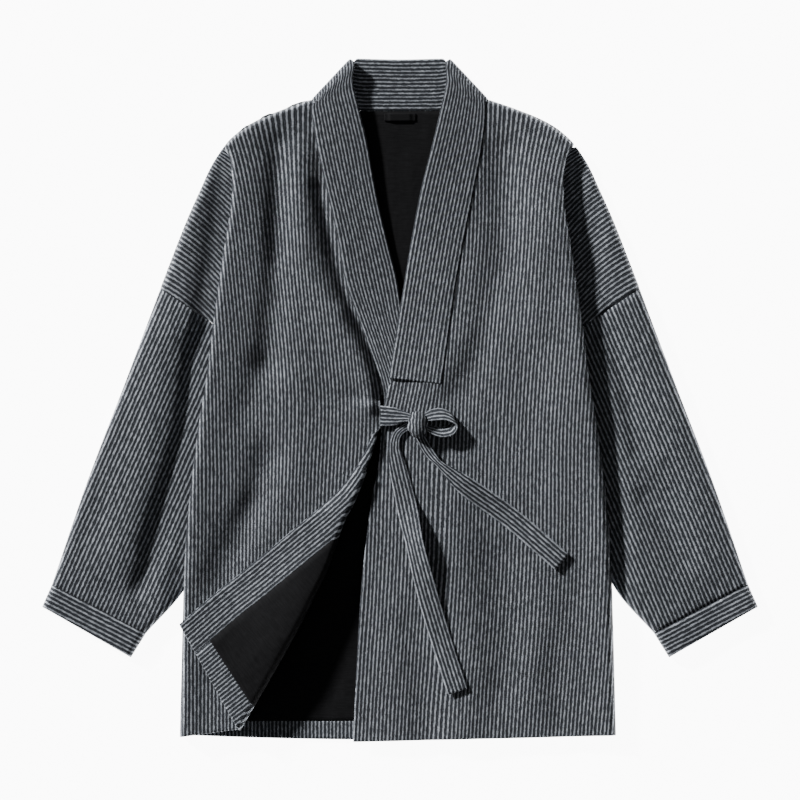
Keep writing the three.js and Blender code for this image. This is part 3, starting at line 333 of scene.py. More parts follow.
# Folds that the cloth has fallen into: height at the middle, half width, and the fold's line.
FOLDS = {
    "right": [
        (
            5.2, 20,
            [(-120, 290), (-116, 252), (-113, 216), (-107, 180), (-97, 144), (-80, 108), (-48, 41),
             (-30, -2)],
        ),
        (3.6, 12, [(-72, 104), (-43, 41), (-30, -2)]),
        (-4.2, 10, [(-98, 254), (-89, 216), (-80, 180), (-71, 148), (-57, 116), (-40, 84)]),
        (-5.6, 16, [(-145, 306), (-149, 150), (-159, 40)]),
        (-2.4, 13, [(-145, 282), (-147, 170)]),
        (-2.5, 20, [(-166, 40), (-184, -10)]),
        (-4.4, 19, [(-160, -70), (-174, -118), (-196, -156), (-218, -216)]),
        (-2.5, 12, [(-176, -124), (-190, -176)]),
        (4, 42, [(-110, -240), (-150, -320), (-185, -378)]),
        (2.5, 24, [(-120, 20), (-128, -80), (-150, -150)]),
    ],
    "left": [
        (-4, 18, [(124, 300), (122, 175), (96, 64), (71, 8)]),
        (3, 20, [(168, 296), (168, 204), (160, 90)]),
        (-2.6, 22, [(116, -193), (130, -270), (122, -347)]),
        (-2.2, 20, [(10, -270), (30, -340), (34, -405)]),
        (2.4, 26, [(70, -120), (74, -240), (78, -395)]),
        (2, 24, [(182, 20), (186, -120), (176, -300)]),
        (-2, 14, [(184, -300), (192, -390)]),
    ],
    "rightArm": [
        (
            4.6, 30,
            [(-252, 130), (-284, 60), (-290, 12), (-296, -36), (-308, -84), (-322, -132), (-336, -184)],
        ),
        (
            -9.5, 16,
            [(-190, 214), (-205, 156), (-219, 108), (-241, 60), (-247, 12), (-252, -36), (-265, -84),
             (-281, -132), (-293, -176)],
        ),
        (-5, 12, [(-300, -196), (-313, -226)]),
    ],
    "leftArm": [
        (3, 22, [(286, 130), (320, 0), (352, -110), (378, -200)]),
        (-3.4, 12, [(232, 240), (240, 120), (262, 40), (286, -60)]),
        (-3, 14, [(296, -120), (340, -190)]),
    ],
}

# How far the stripes of each front lean from upright: the rise of x for each mm upwards, near the
# front's edge, between and near the side.
LEAN = {
    1: Table(
        "y edge inner outer",
        (360, 0, 0, 0.2), (320, 0, 0, 0.26), (300, 0, 0, 0.27), (270, 0, 0, 0.2), (240, 0, 0, 0.1),
        (144, 0.1, 0.1, 0.06), (48, 0.12, 0.07, 0.08), (12, 0.2, 0.06, 0.07), (-20, 0.19, 0.05, 0.05),
        (-50, 0.06, 0.035, 0.03), (-120, 0.03, 0.03, 0), (-240, 0.06, 0.06, 0.05), (-300, 0.07, 0.08, 0.08),
        (-410, 0.06, 0.06, 0.085),
    ),
    -1: Table(
        "y edge inner outer",
        (360, 0.05, 0.05, -0.2), (320, 0.05, 0.05, -0.27), (300, 0.05, 0.05, -0.28),
        (270, 0.03, 0.03, -0.22), (240, 0, 0, -0.18), (192, -0.04, -0.04, -0.12),
        (120, -0.16, -0.12, -0.1), (60, -0.22, -0.1, -0.06), (24, -0.18, -0.08, -0.03),
        (-20, 0, 0.02, -0.02), (-60, 0.07, 0.06, -0.02), (-130, 0.03, 0.03, 0.01), (-410, 0, 0, 0),
    ),
}
LEAN_EDGE, LEAN_INNER, LEAN_OUTER = 30, 84, 215  # distances from the middle where the columns hold

# The ties: the middle of the strip, how high it rides over what it lies on, its turn about its own
# length in degrees, and its half width.
DOWN_TAIL = [
    (20, -27, 2.6, 0, 4.5), (9, -31.5, 1.8, 0, 4.5), (-3, -41, 1.6, 0, 5.4), (-6.5, -57, 1, 0, 6.8),
    (-3.5, -76, 0.6, 0, 9.4), (6, -118, 0.1, 0, 11.6), (17.5, -172, 4, 30, 12), (33, -233, 1.6, 8, 12),
    (50, -290, 0.1, 0, 12), (68.8, -349, 1.4, 0, 12),
]
SLANT_TAIL = [
    (20, -38, 2, 0, 5), (26, -47.7, 2, 0, 5.8), (31, -57, 2, 0, 6.4), (38, -67, 2.2, 0, 6),
    (46.5, -76, 3, 0, 4.2), (58, -86, 2.6, 0, 7), (79, -103, 1.2, 0, 11), (132, -141, 0.1, 0, 12),
    (193.7, -194, 2.2, 0, 12),
]
STRAP = [
    (-23.1, -19, 14.2, 12), (-7, -19.8, 17, 10.4), (4, -20.2, 19.6, 6.8), (11, -21, 21.4, 5),
    (18, -24, 21.6, 4.6),
]
LOOP = [
    (24, -24, 20, 3), (31, -21, 20.6, 5), (40, -18, 20.6, 8), (54, -17.5, 20.4, 9),
    (66, -25.5, 20, 8.4), (62, -35, 20, 7.4), (50, -38.5, 20.6, 7.6), (38, -36, 20.8, 7),
    (31, -33, 20.8, 5.4), (24, -30, 20.4, 3),
]
LOOP_ACROSS = np.array([-0.34, 0.78, -0.52])  # the way the loop's strip lies
LOOP_COUNT = 0.72
KNOT_MIDDLE, KNOT_HALF = np.array([21.4, -29.8, 22.4]), np.array([12, 17, 8])

# ---------- The shape of the body and the arms ----------


def mirrored(hand, table, rows=slice(None)):
    """A table's points from the top down, on one hand."""
    return [(hand * x, y) for y, x in table.rows[::-1][rows]]


BODY_EDGE = {
    hand: mirrored(hand, OUTLINE, slice(SHOULDER_ROWS))
    + [(x + BODY_SHIFT, y) for x, y in mirrored(hand, SIDE, slice(1, None))]
    for hand in (1, -1)
}
ARM_OUTLINE = {hand: mirrored(hand, OUTLINE) for hand in (1, -1)}


def side_x(hand, y):
    return hand * SIDE.at("x", y) + BODY_SHIFT


def body_edge_x(hand, y):
    return np.where(y > CREASE_TOP, hand * OUTLINE.at("x", y), side_x(hand, y))


def hem_y(x):
    return HEM_Y + HEM_RISE * ((x - BODY_SHIFT) / HEM_HALF) ** 2


def back_under(x, y):
    """The underside of the back: on the floor, and raised over the hidden strip of a sleeve."""
    hand = np.where(x < 0, -1, 1)
    inner = ARM_INNER.at("x", y)
    across = ease(hand * x, inner - ARM_HIDDEN, inner - ARM_CLEAR)
    along = (1 - ease(y, *TUCK_TOP)) * ease(y, *TUCK_END)
    return (ARM_PRESSED + GAP) * across * along


def fold_height(folds, x, y):
    height = 0
    for most, width, line in folds:
        height = height + most * np.exp(-((distance_to(line, x, y) / width) ** 2))
    return height


def softness(hand, x, y):
    """The small lumps that show all over laid cloth, longer down the cloth than across it."""
    depth = bpy.context.scene.hanfu_sizes.unevenness / MM
    return depth * sum(part * ripple(x / wide, y / long, seed + hand) for wide, long, seed, part in LUMPS)


def front_level(hand, x, y):
    """The top of a front before its side rolls down."""
    edge = LEFT_INNER if hand > 0 else RIGHT_INNER
    inward = hand * (x - edge.at("x", y))
    level = mix(edge.at("top", y), FRONT_LEVEL, ease(inward, 0, INNER_SLOPE))
    away = distance_to(BODY_EDGE[hand], x, y) / SWELL.at("width", y)
    most = SWELL.at("left" if hand > 0 else "right", y)
    swell = most * np.exp(-away * away) * ease(inward, SWELL_START, INNER_SLOPE)
    folds = fold_height(FOLDS["left" if hand > 0 else "right"], x, y) + softness(hand, x, y)
    return level + swell + folds * ease(inward, 0, FOLD_START)


def drop_under(y):
    """The underside of the drop shoulder along the crease, lower above the hidden strip of the sleeve."""
    hollow = mix(DROP_LEVEL, DROP_HOLLOW, ease(y, *DROP_DIP))
    return mix(hollow, BACK_CLOTH + GAP, ease(y, *DROP_THIN))


def front_foot(hand, y):
    """Where the side of a front comes down to: the drop shoulder, or the side of the back."""
    back = back_under(side_x(hand, y), y) + BACK_CLOTH + GAP
    drop = drop_under(y) + 0.5 * CLOTH
    return mix(back, drop, ease(y, *FOOT_CHANGE))


def front_top(hand, x, y):
    inward = distance_to(BODY_EDGE[hand], x, y)
    foot = np.where(y > CREASE_TOP, BACK_CLOTH + GAP, front_foot(hand, y))
    roll = mix(SIDE_ROLL[hand], SHOULDER_ROLL, ease(y, *ROLL_CHANGE))
    return mix(foot, front_level(hand, x, y), rounded(inward, roll))


def arm_top(hand, x, y):
    """The top of a sleeve: pressed down where the body lies on it."""
    outward = hand * (x - side_x(hand, y))
    folds = fold_height(FOLDS["leftArm" if hand > 0 else "rightArm"], x, y)
    level = ARM_LEVEL + folds + softness(3 * hand, x, y)
    return mix(ARM_PRESSED, np.maximum(level, ARM_PRESSED), ease(outward, 1, ARM_RISE[hand]))


# ---------- Meshes ----------


def grid_of(*columns):
    return np.stack(np.broadcast_arrays(*columns), -1).astype(float)


def normals_of(grid, wrap=False):
    along = np.gradient(grid, axis=0)
    across = np.roll(grid, -1, 1) - np.roll(grid, 1, 1) if wrap else np.gradient(grid, axis=1)
    return unit(np.cross(across, along))


def moved(grid, by, wrap=False):
    """The grid moved along its own normals."""
    return grid + by * normals_of(grid, wrap)


def border_of(rows, columns):
    """The places along a sheet's border, in order."""
    top = [(0, j) for j in range(columns)]
    right = [(i, columns - 1) for i in range(1, rows)]
    bottom = [(rows - 1, j) for j in range(columns - 2, -1, -1)]
    left = [(i, 0) for i in range(rows - 2, 0, -1)]
    return top + right + bottom + left


def shell(face, back, cut, wrap=False):
    """A closed wall between two grids, its rim rounded: vertices, quads, cut and distance to the rim."""
    rows, columns = face.shape[:2]
    count = rows * columns
    index = np.arange(count).reshape(rows, columns)
    if wrap:
        index = np.hstack([index, index[:, :1]])
    corner = [index[:-1, :-1], index[:-1, 1:], index[1:, 1:], index[1:, :-1]]
    quads = np.stack(corner, -1).reshape(-1, 4)
    quads = [quads, quads[:, ::-1] + count]
    points, cuts = [face.reshape(-1, 3), back.reshape(-1, 3)], [cut.reshape(-1, 2)] * 2
    if wrap:
        loops = [[(0, j) for j in range(columns)], [(rows - 1, j) for j in range(columns - 1, -1, -1)]]
        within = lambda i, j: (1 if i == 0 else rows - 2, j)
    else:
        loops = [border_of(rows, columns)]
        within = lambda i, j: (min(max(i, 1), rows - 2), min(max(j, 1), columns - 2))
    start = 2 * count
    for loop in loops:
        at = np.array([i * columns + j for i, j in loop])
        inner = np.array([i * columns + j for i, j in (within(*place) for place in loop)])
        outward = unit(points[0][at] - points[0][inner])
        half = np.linalg.norm(points[0][at] - points[1][at], axis=1, keepdims=True) / 2
        points.append((points[0][at] + points[1][at]) / 2 + RIM_BULGE * half * outward)
        cuts.append(cuts[0][at])
        middle = start + np.arange(len(loop))
        following = np.roll(np.arange(len(loop)), -1)
        quads.append(np.stack([at[following], at, middle, middle[following]], -1))
        quads.append(np.stack([middle[following], middle, at + count, at[following] + count], -1))
        start += len(loop)
    points, cuts, quads = np.vstack(points), np.vstack(cuts), np.vstack(quads)
    row_gap = np.linalg.norm(face[1, 0] - face[0, 0])
    far = np.minimum(np.arange(rows), np.arange(rows)[::-1])[:, None] * row_gap
    rim = np.full(len(points), 0.0)
    steps = np.linalg.norm(np.diff(face, axis=1), axis=2).cumsum(1)
    steps = np.hstack([np.zeros((rows, 1)), steps])
    side = np.minimum(steps, steps[:, -1:] - steps)
    distance = np.broadcast_to(far, (rows, columns)) if wrap else np.minimum(far, side)
    rim[:count] = rim[count : 2 * count] = distance.reshape(-1)
    return points, quads, cuts, rim


def enclosed(points, quads):
    """The volume that the quads enclose, less than zero if they face inwards."""
    a, b, c, d = (points[quads[:, k]] for k in range(4))
    return np.sum(np.cross(a, b) * c) + np.sum(np.cross(a, c) * d)


def piece(name, shells, nodes, slot="striped_cloth"):
    """One object from closed shells, at the origin, in the place of the named nodes."""
    points, quads, cuts, rims, start = [], [], [], [], 0
    for p, q, c, r in shells:
        if enclosed(p, q) < 0:
            q = q[:, ::-1]
        points.append(p)
        quads.append(q + start)
        cuts.append(c)
        rims.append(r)
        start += len(p)
    points, quads, cuts, rims = (np.concatenate(x) for x in (points, quads, cuts, rims))
    mesh = bpy.data.meshes.new(name)
    mesh.from_pydata((points * MM).tolist(), [], quads.tolist())
    layer = mesh.uv_layers.new(name="cut")
    layer.data.foreach_set("uv", (cuts[quads.ravel()] * MM).astype(np.float32).ravel())
    # A painted highlight: each point's nearness to its piece's edge, which the striped cloth turns into
    # lighter colour along every rolled edge.
    edge_highlight = mesh.attributes.new("edge_highlight", "FLOAT", "POINT")
    edge_highlight.data.foreach_set("value", np.exp(-rims / EDGE_HIGHLIGHT_REACH).astype(np.float32))
    mesh.polygons.foreach_set("use_smooth", np.ones(len(mesh.polygons), bool))
    mesh.materials.append(finish_of(slot))
    mesh.update()
    obj = bpy.data.objects.new(name, mesh)
    bpy.context.collection.objects.link(obj)
    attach(obj, "root")
    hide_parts(*nodes.split())
    return obj


# ---------- Materials ----------


class Recipe:
    """A material's nodes, added one by one."""

    def __init__(self, name):
        self.material = bpy.data.materials.new(name)
        self.material.use_nodes = True
        self.tree = self.material.node_tree
        self.tree.nodes.clear()

    def add(self, kind, inputs=None, **settings):
        node = self.tree.nodes.new(kind)
        for key, value in settings.items():
            setattr(node, key, value)
        for key, value in (inputs or {}).items():
            if isinstance(value, bpy.types.NodeSocket):
                self.tree.links.new(value, node.inputs[key])
            else:
                node.inputs[key].default_value = value
        return node

    def math(self, operation, *values):
        return self.add("ShaderNodeMath", dict(enumerate(values)), operation=operation).outputs[0]

    def spread(self, value, start, end, low, high):
        """Maps start to low and end to high, smoothly."""
        inputs = {"Value": value, "From Min": start, "From Max": end, "To Min": low, "To Max": high}
        return self.add("ShaderNodeMapRange", inputs, interpolation_type="SMOOTHSTEP").outputs[0]

    def noise(self, place, scale, detail=2.0):
        """Noise from 0 to 1 on a place that is stretched by scale."""
        stretched = self.add("ShaderNodeMapping", {"Vector": place, "Scale": (*scale, 1)})
        inputs = {"Vector": stretched.outputs[0], "Scale": 1.0, "Detail": detail}
        return self.add("ShaderNodeTexNoise", inputs, noise_dimensions="2D").outputs[0]

    def scaled(self, colour, by):
        return self.add("ShaderNodeVectorMath", {0: colour, "Scale": by}, operation="SCALE").outputs[0]

    def blend(self, part, first, second):
        node = self.add("ShaderNodeMix", data_type="RGBA")
        sockets = [s for s in node.inputs if s.enabled]
        for socket, value in zip(sockets, (part, first, second)):
            if isinstance(value, bpy.types.NodeSocket):
                self.tree.links.new(value, socket)
            else:
                socket.default_value = value
        return next(s for s in node.outputs if s.enabled)

    def surface(self, colour, height, distance, settings):
        """The shader, with a bump from the height, and the output."""
        bump = self.add("ShaderNodeBump", {"Height": height, "Distance": distance, "Strength": 1.0})
        inputs = {"Base Color": colour, "Normal": bump.outputs[0], **settings}
        shader = self.add("ShaderNodeBsdfPrincipled", inputs)
        self.add("ShaderNodeOutputMaterial", {"Surface": shader.outputs[0]})
        return self.material


def striped_cloth():
    """Woven stripes of slubbed light yarn on a dark ground, a little raised."""
    sizes = bpy.context.scene.hanfu_sizes
    r = Recipe("striped cloth")
    cut = r.add("ShaderNodeUVMap", uv_map="cut").outputs[0]
    place = r.add("ShaderNodeSeparateXYZ", {0: cut})
    sway = r.math("MULTIPLY_ADD", r.noise(cut, (60, 14)), 0.0012, -0.0006)
    shiver = r.math("MULTIPLY_ADD", r.noise(cut, (210, 330)), 0.0011, -0.00055)
    across = r.math("ADD", r.math("ADD", place.outputs[0], sway), shiver)
    turn = r.math("PINGPONG", r.math("DIVIDE", across, sizes.stripe_pitch), 0.5)
    slub = r.noise(cut, (230, 150), 3.0)
    speck = r.noise(cut, (1100, 800), 1.0)
    width = r.math("MULTIPLY_ADD", slub, -0.2, 0.405)
    edge = r.math("SUBTRACT", turn, width)
    light = r.spread(edge, -0.055, 0.055, 0.0, 1.0)
    fine = r.spread(r.math("ABSOLUTE", r.math("SUBTRACT", turn, 0.06)), 0.0, 0.06, 1.0, 0.0)
    yarn = r.spread(slub, 0.25, 0.75, 0.6, 1.22)
    thread = r.spread(speck, 0.3, 0.7, 0.62, 1.32)
    bright = r.math("MULTIPLY", yarn, thread)
    ground = r.math("MULTIPLY_ADD", fine, 0.6, r.spread(speck, 0.35, 0.8, 0.3, 2.6))
    broad = r.spread(r.noise(cut, (9, 7), 4.0), 0.3, 0.7, 0.93, 1.07)
    light_colour = r.scaled(tuple(sizes.light_yarn), bright)
    stripes = r.blend(light, r.scaled(tuple(sizes.dark_yarn), ground), light_colour)
    # Painted highlight: the cloth is up to 12 percent lighter near each piece's edges, where light would
    # catch the rolled rim.
    edge_highlight = r.add("ShaderNodeAttribute", attribute_name="edge_highlight").outputs["Fac"]
    highlighted = r.math("MULTIPLY", broad, r.math("MULTIPLY_ADD", edge_highlight, 0.12, 1.0))
    colour = r.scaled(stripes, highlighted)
    height = r.math("ADD", r.math("MULTIPLY", light, 0.75), r.math("MULTIPLY", speck, 0.35))
    finish = {"Roughness": 0.9, "Specular IOR Level": 0.15, "Sheen Weight": 0.05, "Sheen Roughness": 0.5}
    return r.surface(colour, height, 0.0006, finish)


def lining_cloth():
    """A black plain weave, faintly slubbed."""
    r = Recipe("lining cloth")
    cut = r.add("ShaderNodeUVMap", uv_map="cut").outputs[0]
    weave = r.noise(cut, (1500, 1500), 1.0)
    slub = r.noise(cut, (60, 700), 3.0)
    crease = r.noise(cut, (24, 16), 3.0)
    shade = r.math("MULTIPLY", r.spread(weave, 0.3, 0.7, 0.8, 1.25), r.spread(slub, 0.3, 0.7, 0.85, 1.2))
    black = tuple(bpy.context.scene.hanfu_sizes.lining_colour)
    colour = r.scaled(black, shade)
    height = r.math("ADD", r.math("MULTIPLY", weave, 0.3), r.math("MULTIPLY", crease, 4.0))
    return r.surface(colour, height, 0.0005, {"Roughness": 0.9, "Specular IOR Level": 0.06})


def hanger_tape():
    """A dark ribbed tape."""
    r = Recipe("hanger tape")
    cut = r.add("ShaderNodeUVMap", uv_map="cut").outputs[0]
    place = r.add("ShaderNodeSeparateXYZ", {0: cut})
    rib = r.math("PINGPONG", r.math("DIVIDE", place.outputs[0], 0.0009), 0.5)
    weave = r.noise(cut, (1200, 1200), 1.0)
    shade = r.math("MULTIPLY_ADD", rib, 0.6, r.spread(weave, 0.3, 0.7, 0.6, 1.2))
    black = tuple(bpy.context.scene.hanfu_sizes.lining_colour)
    colour = r.scaled(black, shade)
    return r.surface(colour, rib, 0.0003, {"Roughness": 0.8, "Specular IOR Level": 0.06})


def pale_floor():
    """A matt pale floor that lights itself a little, so that no hard shadow lies on it."""
    r = Recipe("pale floor")
    place = r.add("ShaderNodeTexCoord").outputs["Object"]
    grain = r.spread(r.noise(place, (3, 3)), 0.3, 0.7, 0.96, 1.0)
    colour = r.scaled((0.9, 0.9, 0.9), grain)
    glow = bpy.context.scene.hanfu_stage.floor_glow
    finish = {"Roughness": 0.9, "Emission Color": (1, 1, 1, 1), "Emission Strength": glow}
    return r.surface(colour, grain, 0.0001, finish)


FINISHES = {"striped_cloth": striped_cloth, "lining_cloth": lining_cloth, "hanger_tape": hanger_tape}


def finish_of(slot):
    """The material of a slot, made once."""
    name = slot.replace("_", " ")
    return bpy.data.materials.get(name) or FINISHES[slot]()


# ---------- Back ----------


def stripes_at(hand, x, y):
    """Where a place on a front lies in its cut: across the stripes and along them."""
    stations = np.linspace(-440, 420, 400)
    shifts = []
    for name in ("edge", "inner", "outer"):
        shift = np.cumsum(LEAN[hand].at(name, stations)) * (stations[1] - stations[0])
        shifts.append(np.interp(y, stations, shift - np.interp(0, stations, shift)))
    edge, inner, outer = shifts
    inner = mix(edge, inner, ease(hand * x, LEAN_EDGE, LEAN_INNER - 20))
    return grid_of(x - mix(inner, outer, ease(hand * x, LEAN_INNER, LEAN_OUTER)), y)


def drop_places(hand, rows, columns):
    """The places of a drop shoulder, from its hidden edge out to the outline, and from the top down."""
    t = np.linspace(0, 1, rows)
    outer = along_curve(mirrored(hand, OUTLINE, slice(SHOULDER_ROWS - 1, -3)), t)
    (seam_x, seam_y), (end_x, end_y) = mirrored(1, ARM_INNER)[0], mirrored(1, OUTLINE)[-4]
    lowest_x = hand * side_x(hand, seam_y - DROP_UNDER) - DROP_UNDER
    y = mix(DROP_TOP, mix(seam_y, end_y, (lowest_x - seam_x) / (end_x - seam_x)), t)
    inner = grid_of(side_x(hand, y) - hand * DROP_UNDER, y)
    part = np.sin(np.linspace(0, pi / 2, columns))[None, :, None]
    return mix(inner[:, None], outer[:, None], part)


def stood_up(grid):
    """The grid with its outline as high as the column before it, and the last column down at the foot."""
    grid[:, -1, 2], grid[:, -2, 2] = grid[:, -2, 2].copy(), grid[:, -3, 2]
    return grid


def inner_side(face, depth):
    """The inner side of a front's wall, kept within its upright side."""
    inner = moved(face, depth)
    inner[:, -3:, :2] = face[:, -4:-3, :2]
    inner[:, -3, 2] = face[:, -4, 2] - 1.2 * CLOTH
    inner[:, -1, 2] = face[:, -1, 2]
    inner[:, -2, 2] = (inner[:, -3, 2] + inner[:, -1, 2]) / 2
    return inner


def drop_cut(hand, x, y):
    """The drop shoulder's stripes fall towards the body, less steeply further out."""
    out = hand * (x - side_x(hand, y))
    start = y - DROP_SLOPE * out + DROP_BEND * out * out
    return grid_of(start * DROP_COUNT, out)


def drop_shoulder(hand):
    xy = drop_places(hand, *DROP_GRID)
    x, y = xy[..., 0], xy[..., 1]
    low = drop_under(y) + CLOTH
    outward = hand * (x - side_x(hand, y))
    level = mix(low, np.maximum(arm_top(hand, x, y), low), ease(outward, 2, DROP_RISE))
    edge = BACK_CLOTH + GAP
    z = mix(edge + 0.4 * CLOTH, level, rounded(distance_to(ARM_OUTLINE[hand], x, y), ARM_ROLL))
    seam = np.linspace(1, 0, len(xy))[:, None] * np.linalg.norm(xy[-1, -1] - xy[0, -1])
    z = z - DROP_SEAM * np.exp(-((seam / DROP_SEAM_WIDTH) ** 2)) * (z - edge > DROP_SEAM_LEAST)
    face = grid_of(x, y, z)
    return shell(face, grid_of(x, y, np.maximum(z - CLOTH, edge)), drop_cut(hand, x, y))


class HANFU_OT_back(bpy.types.Operator):
    """Makes the back, its lining and hem facing, and the hanger loop"""

    bl_idname = "hanfu.back"
    bl_label = "Back"

    def execute(self, context):
        rows_y = np.linspace(FRONT_HEM, 334, 150)
        part = np.linspace(-1, 1, 81)
        raised = rows_y + BACK_TUCK * ease(rows_y, 290, 310)
        edge = [body_edge_x(hand, raised)[:, None] - hand * BACK_TUCK for hand in (-1, 1)]
        x = mix(edge[0], edge[1], (part + 1) / 2)
        y = rows_y[:, None] + np.zeros_like(x)
        y += (hem_y(x) - rows_y[0]) * (1 - ease(y, *HEM_CURVE))
        neck_x = part * NECK_HALF
        out = np.abs(neck_x)
        top_y = mix(NECK_Y, FRONT_TOP - BACK_TUCK, ease(out, *NECK_SLOPE))
        top_y = top_y - NECK_CLEAR * ease(out, *NECK_APART)
        steps = np.linspace(0, 1, NECK_ROWS + 1)[1:, None]
        x = np.vstack([x, mix(x[-1], neck_x, steps)])
        y = np.vstack([y, mix(y[-1], top_y, steps)])
        face = grid_of(x, y, back_under(x, y) + BACK_CLOTH)
        under = grid_of(x, y, np.maximum(face[..., 2] - BACK_CLOTH, 0))
        shells = [shell(face, under, grid_of(x, y))]
        for hand in (1, -1):
            xy = drop_places(hand, *DROP_GRID)
            x, y = xy[..., 0], xy[..., 1]
            shells.append(shell(grid_of(x, y, BACK_CLOTH), grid_of(x, y, 0), drop_cut(hand, x, y)))
        back = piece("jacket_back", shells, "back")
        self.inside()
        return {"FINISHED"}

    def inside(self):
        """The lining and the hem's facing on the inside of the back, and the hanger loop."""
        level = BACK_CLOTH + GAP + LINING
        lining = Table(
            "y left right",
            (HEM_Y + HEM_FACING + GAP, -214, HEM_FACING_SPAN[1]), (-200, -190, -10), (60, -100, 20),
            (200, -88, 88), (330, -LINING_HALF, LINING_HALF), (NECK_Y, -LINING_HALF, LINING_HALF),
        )
        y = np.linspace(HEM_Y + HEM_FACING + GAP, NECK_Y, 140)[:, None]
        x = mix(lining.at("left", y), lining.at("right", y), np.linspace(0, 1, 40))
        y = y + np.zeros_like(x)
        soft = 0.5 * np.maximum(ripple(x / 22, y / 50, 5), 0)
        face = grid_of(x, y, level + soft)
        made = shell(face, grid_of(x, y, level - LINING), grid_of(x, y))
        obj = piece("back_lining_cloth", [made], "back_lining", "lining_cloth")
        x = np.linspace(*HEM_FACING_SPAN, 80)[None, :] + np.zeros((8, 1))
        y = mix(hem_y(x) + GAP, HEM_Y + HEM_FACING, np.linspace(0, 1, 8)[:, None])
        made = shell(grid_of(x, y, level), grid_of(x, y, level - LINING), grid_of(x, y))
        obj = piece("back_hem_facing_strip", [made], "back_hem_facing")
        x = np.linspace(-LOOP_HALF, LOOP_HALF, 40)[None, :]
        y = np.linspace(*LOOP_SPAN, 8)[:, None]
        rise = LOOP_RISE * (1 - ease(np.abs(x), *LOOP_SEWN))
        z = BACK_CLOTH + LINING + 2 * GAP + rise + 0 * y
        x, y = x + 0 * y, y + 0 * x
        made = shell(grid_of(x, y, z + TAPE), grid_of(x, y, z), grid_of(y, x))
        obj = piece("hanger_tape_loop", [made], "hanger_loop", "hanger_tape")


# ---------- Sleeves and cuffs ----------


def arm_rings(hand, outer, inner, proud):
    """The cross-sections of a sleeve between its outer and inner folded edges."""
    outer, inner = outer[:, None], inner[:, None]
    width = np.linalg.norm(inner - outer, axis=2)
    tries = np.linspace(0.94, 0.5, 89)[None, :, None]
    places = mix(outer, inner, tries)
    free = hand * (places[..., 0] - side_x(hand, places[..., 1])) >= 0
    crossing = np.where(free.any(1), tries[0, np.argmax(free, 1), 0], 0.5)[:, None]
    rim = [0, 0.006, 0.014, 0.024, 0.036, 0.05, 0.07, 0.1]
    opening = np.concatenate([rim, np.linspace(0.14, 0.98, 30)])
    strip = np.concatenate([np.linspace(0, 0.8, 8), [0.88, 0.94, 0.97, 0.99, 1]])
    tops = np.hstack([opening * crossing, mix(crossing, 1, strip)])
    under = np.array([0.985, 0.96, 0.9, 0.75, 0.5, 0.25, 0.1, 0.04, 0.012])
    under = np.broadcast_to(under, (len(tops), len(under)))
    part = np.hstack([tops, under])
    places = mix(outer, inner, part[..., None])
    x, y = places[..., 0], places[..., 1]
    roll = rounded(np.minimum(part, 1 - part) * width, ARM_ROLL)
    top = mix(ARM_EDGE, arm_top(hand, x, y) + proud[:, None], roll)
    z = np.where(np.arange(part.shape[1]) < tops.shape[1], top, ARM_EDGE * (1 - roll))
    return grid_of(x, y, z)


def sleeve_cut(grid, lean):
    x, y = grid[..., 0], grid[..., 1]
    across = x * cos(lean) - y * sin(lean)
    return grid_of(SLEEVE_COUNT * across, y * cos(lean) + x * sin(lean))


class HANFU_OT_sleeves(bpy.types.Operator):
    """Makes both sleeves and their cuffs"""

    bl_idname = "hanfu.sleeves"
    bl_label = "Sleeves and Cuffs"

    def execute(self, context):
        for name, hand in (("left", 1), ("right", -1)):
            outer = mirrored(hand, OUTLINE, slice(-ARM_OUTER_ROWS, None))
            inner = mirrored(hand, ARM_INNER)
            self.sleeve(name, hand, outer, inner)
            self.cuff(name, hand, outer[-1], inner[-1])
        return {"FINISHED"}

    def sleeve(self, name, hand, outer, inner):
        t = mix(0.0008, 1, np.linspace(0, 1, 90))
        seams = ARM_LENGTH * np.minimum(t - t[0], 1 - t)
        proud = -ARM_SEAM * np.exp(-((seams / ARM_SEAM_WIDTH) ** 2))
        face = arm_rings(hand, along_curve(outer, t), along_curve(inner, t), proud)
        wall = inward(face, ARM_WALL)
        made = shell(face, wall, sleeve_cut(face, SLEEVE_LEAN[hand]), wrap=True)
        obj = piece(f"sleeve_{name}_cloth", [made], f"sleeve_{name}_upper sleeve_{name}_lower")

    def cuff(self, name, hand, outer, inner):
        ends = [(hand * x, y) for x, y in (CUFF_OUTER, CUFF_INNER)]
        steps = (0.014, 0.12, 6), (0.2, 0.88, 10), (0.93, 1, 5)
        t = np.concatenate([np.linspace(*step) for step in steps])
        line = [np.array([start, end], float) for start, end in ((outer, ends[0]), (inner, ends[1]))]
        points = [mix(ends[0], ends[1], t[:, None]) for ends in line]
        crown = rounded(np.minimum(t - t[0], 1 - t) * 30, 4)
        face = arm_rings(hand, *points, CUFF_PROUD * crown - CUFF_SUNK)
        wall = inward(face, CUFF_WALL)
        seam = unit(line[1][0] - line[0][0])
        away = (face[..., :2] - line[0][0]) @ np.array([-seam[1], seam[0]])
        along = (face[..., :2] - line[0][0]) @ seam
        made = shell(face, wall, grid_of(SLEEVE_COUNT * away, along), wrap=True)
        obj = piece(f"cuff_{name}_band", [made], f"cuff_{name}")


def inward(face, by):
    """The inside of a tube whose rings are given, whichever way its normals point."""
    inside = moved(face, by, wrap=True)
    middle = face.mean(1, keepdims=True)
    closer = np.linalg.norm(inside - middle, axis=2).mean() < np.linalg.norm(face - middle, axis=2).mean()
    return inside if closer else moved(face, -by, wrap=True)


# ---------- Fronts ----------


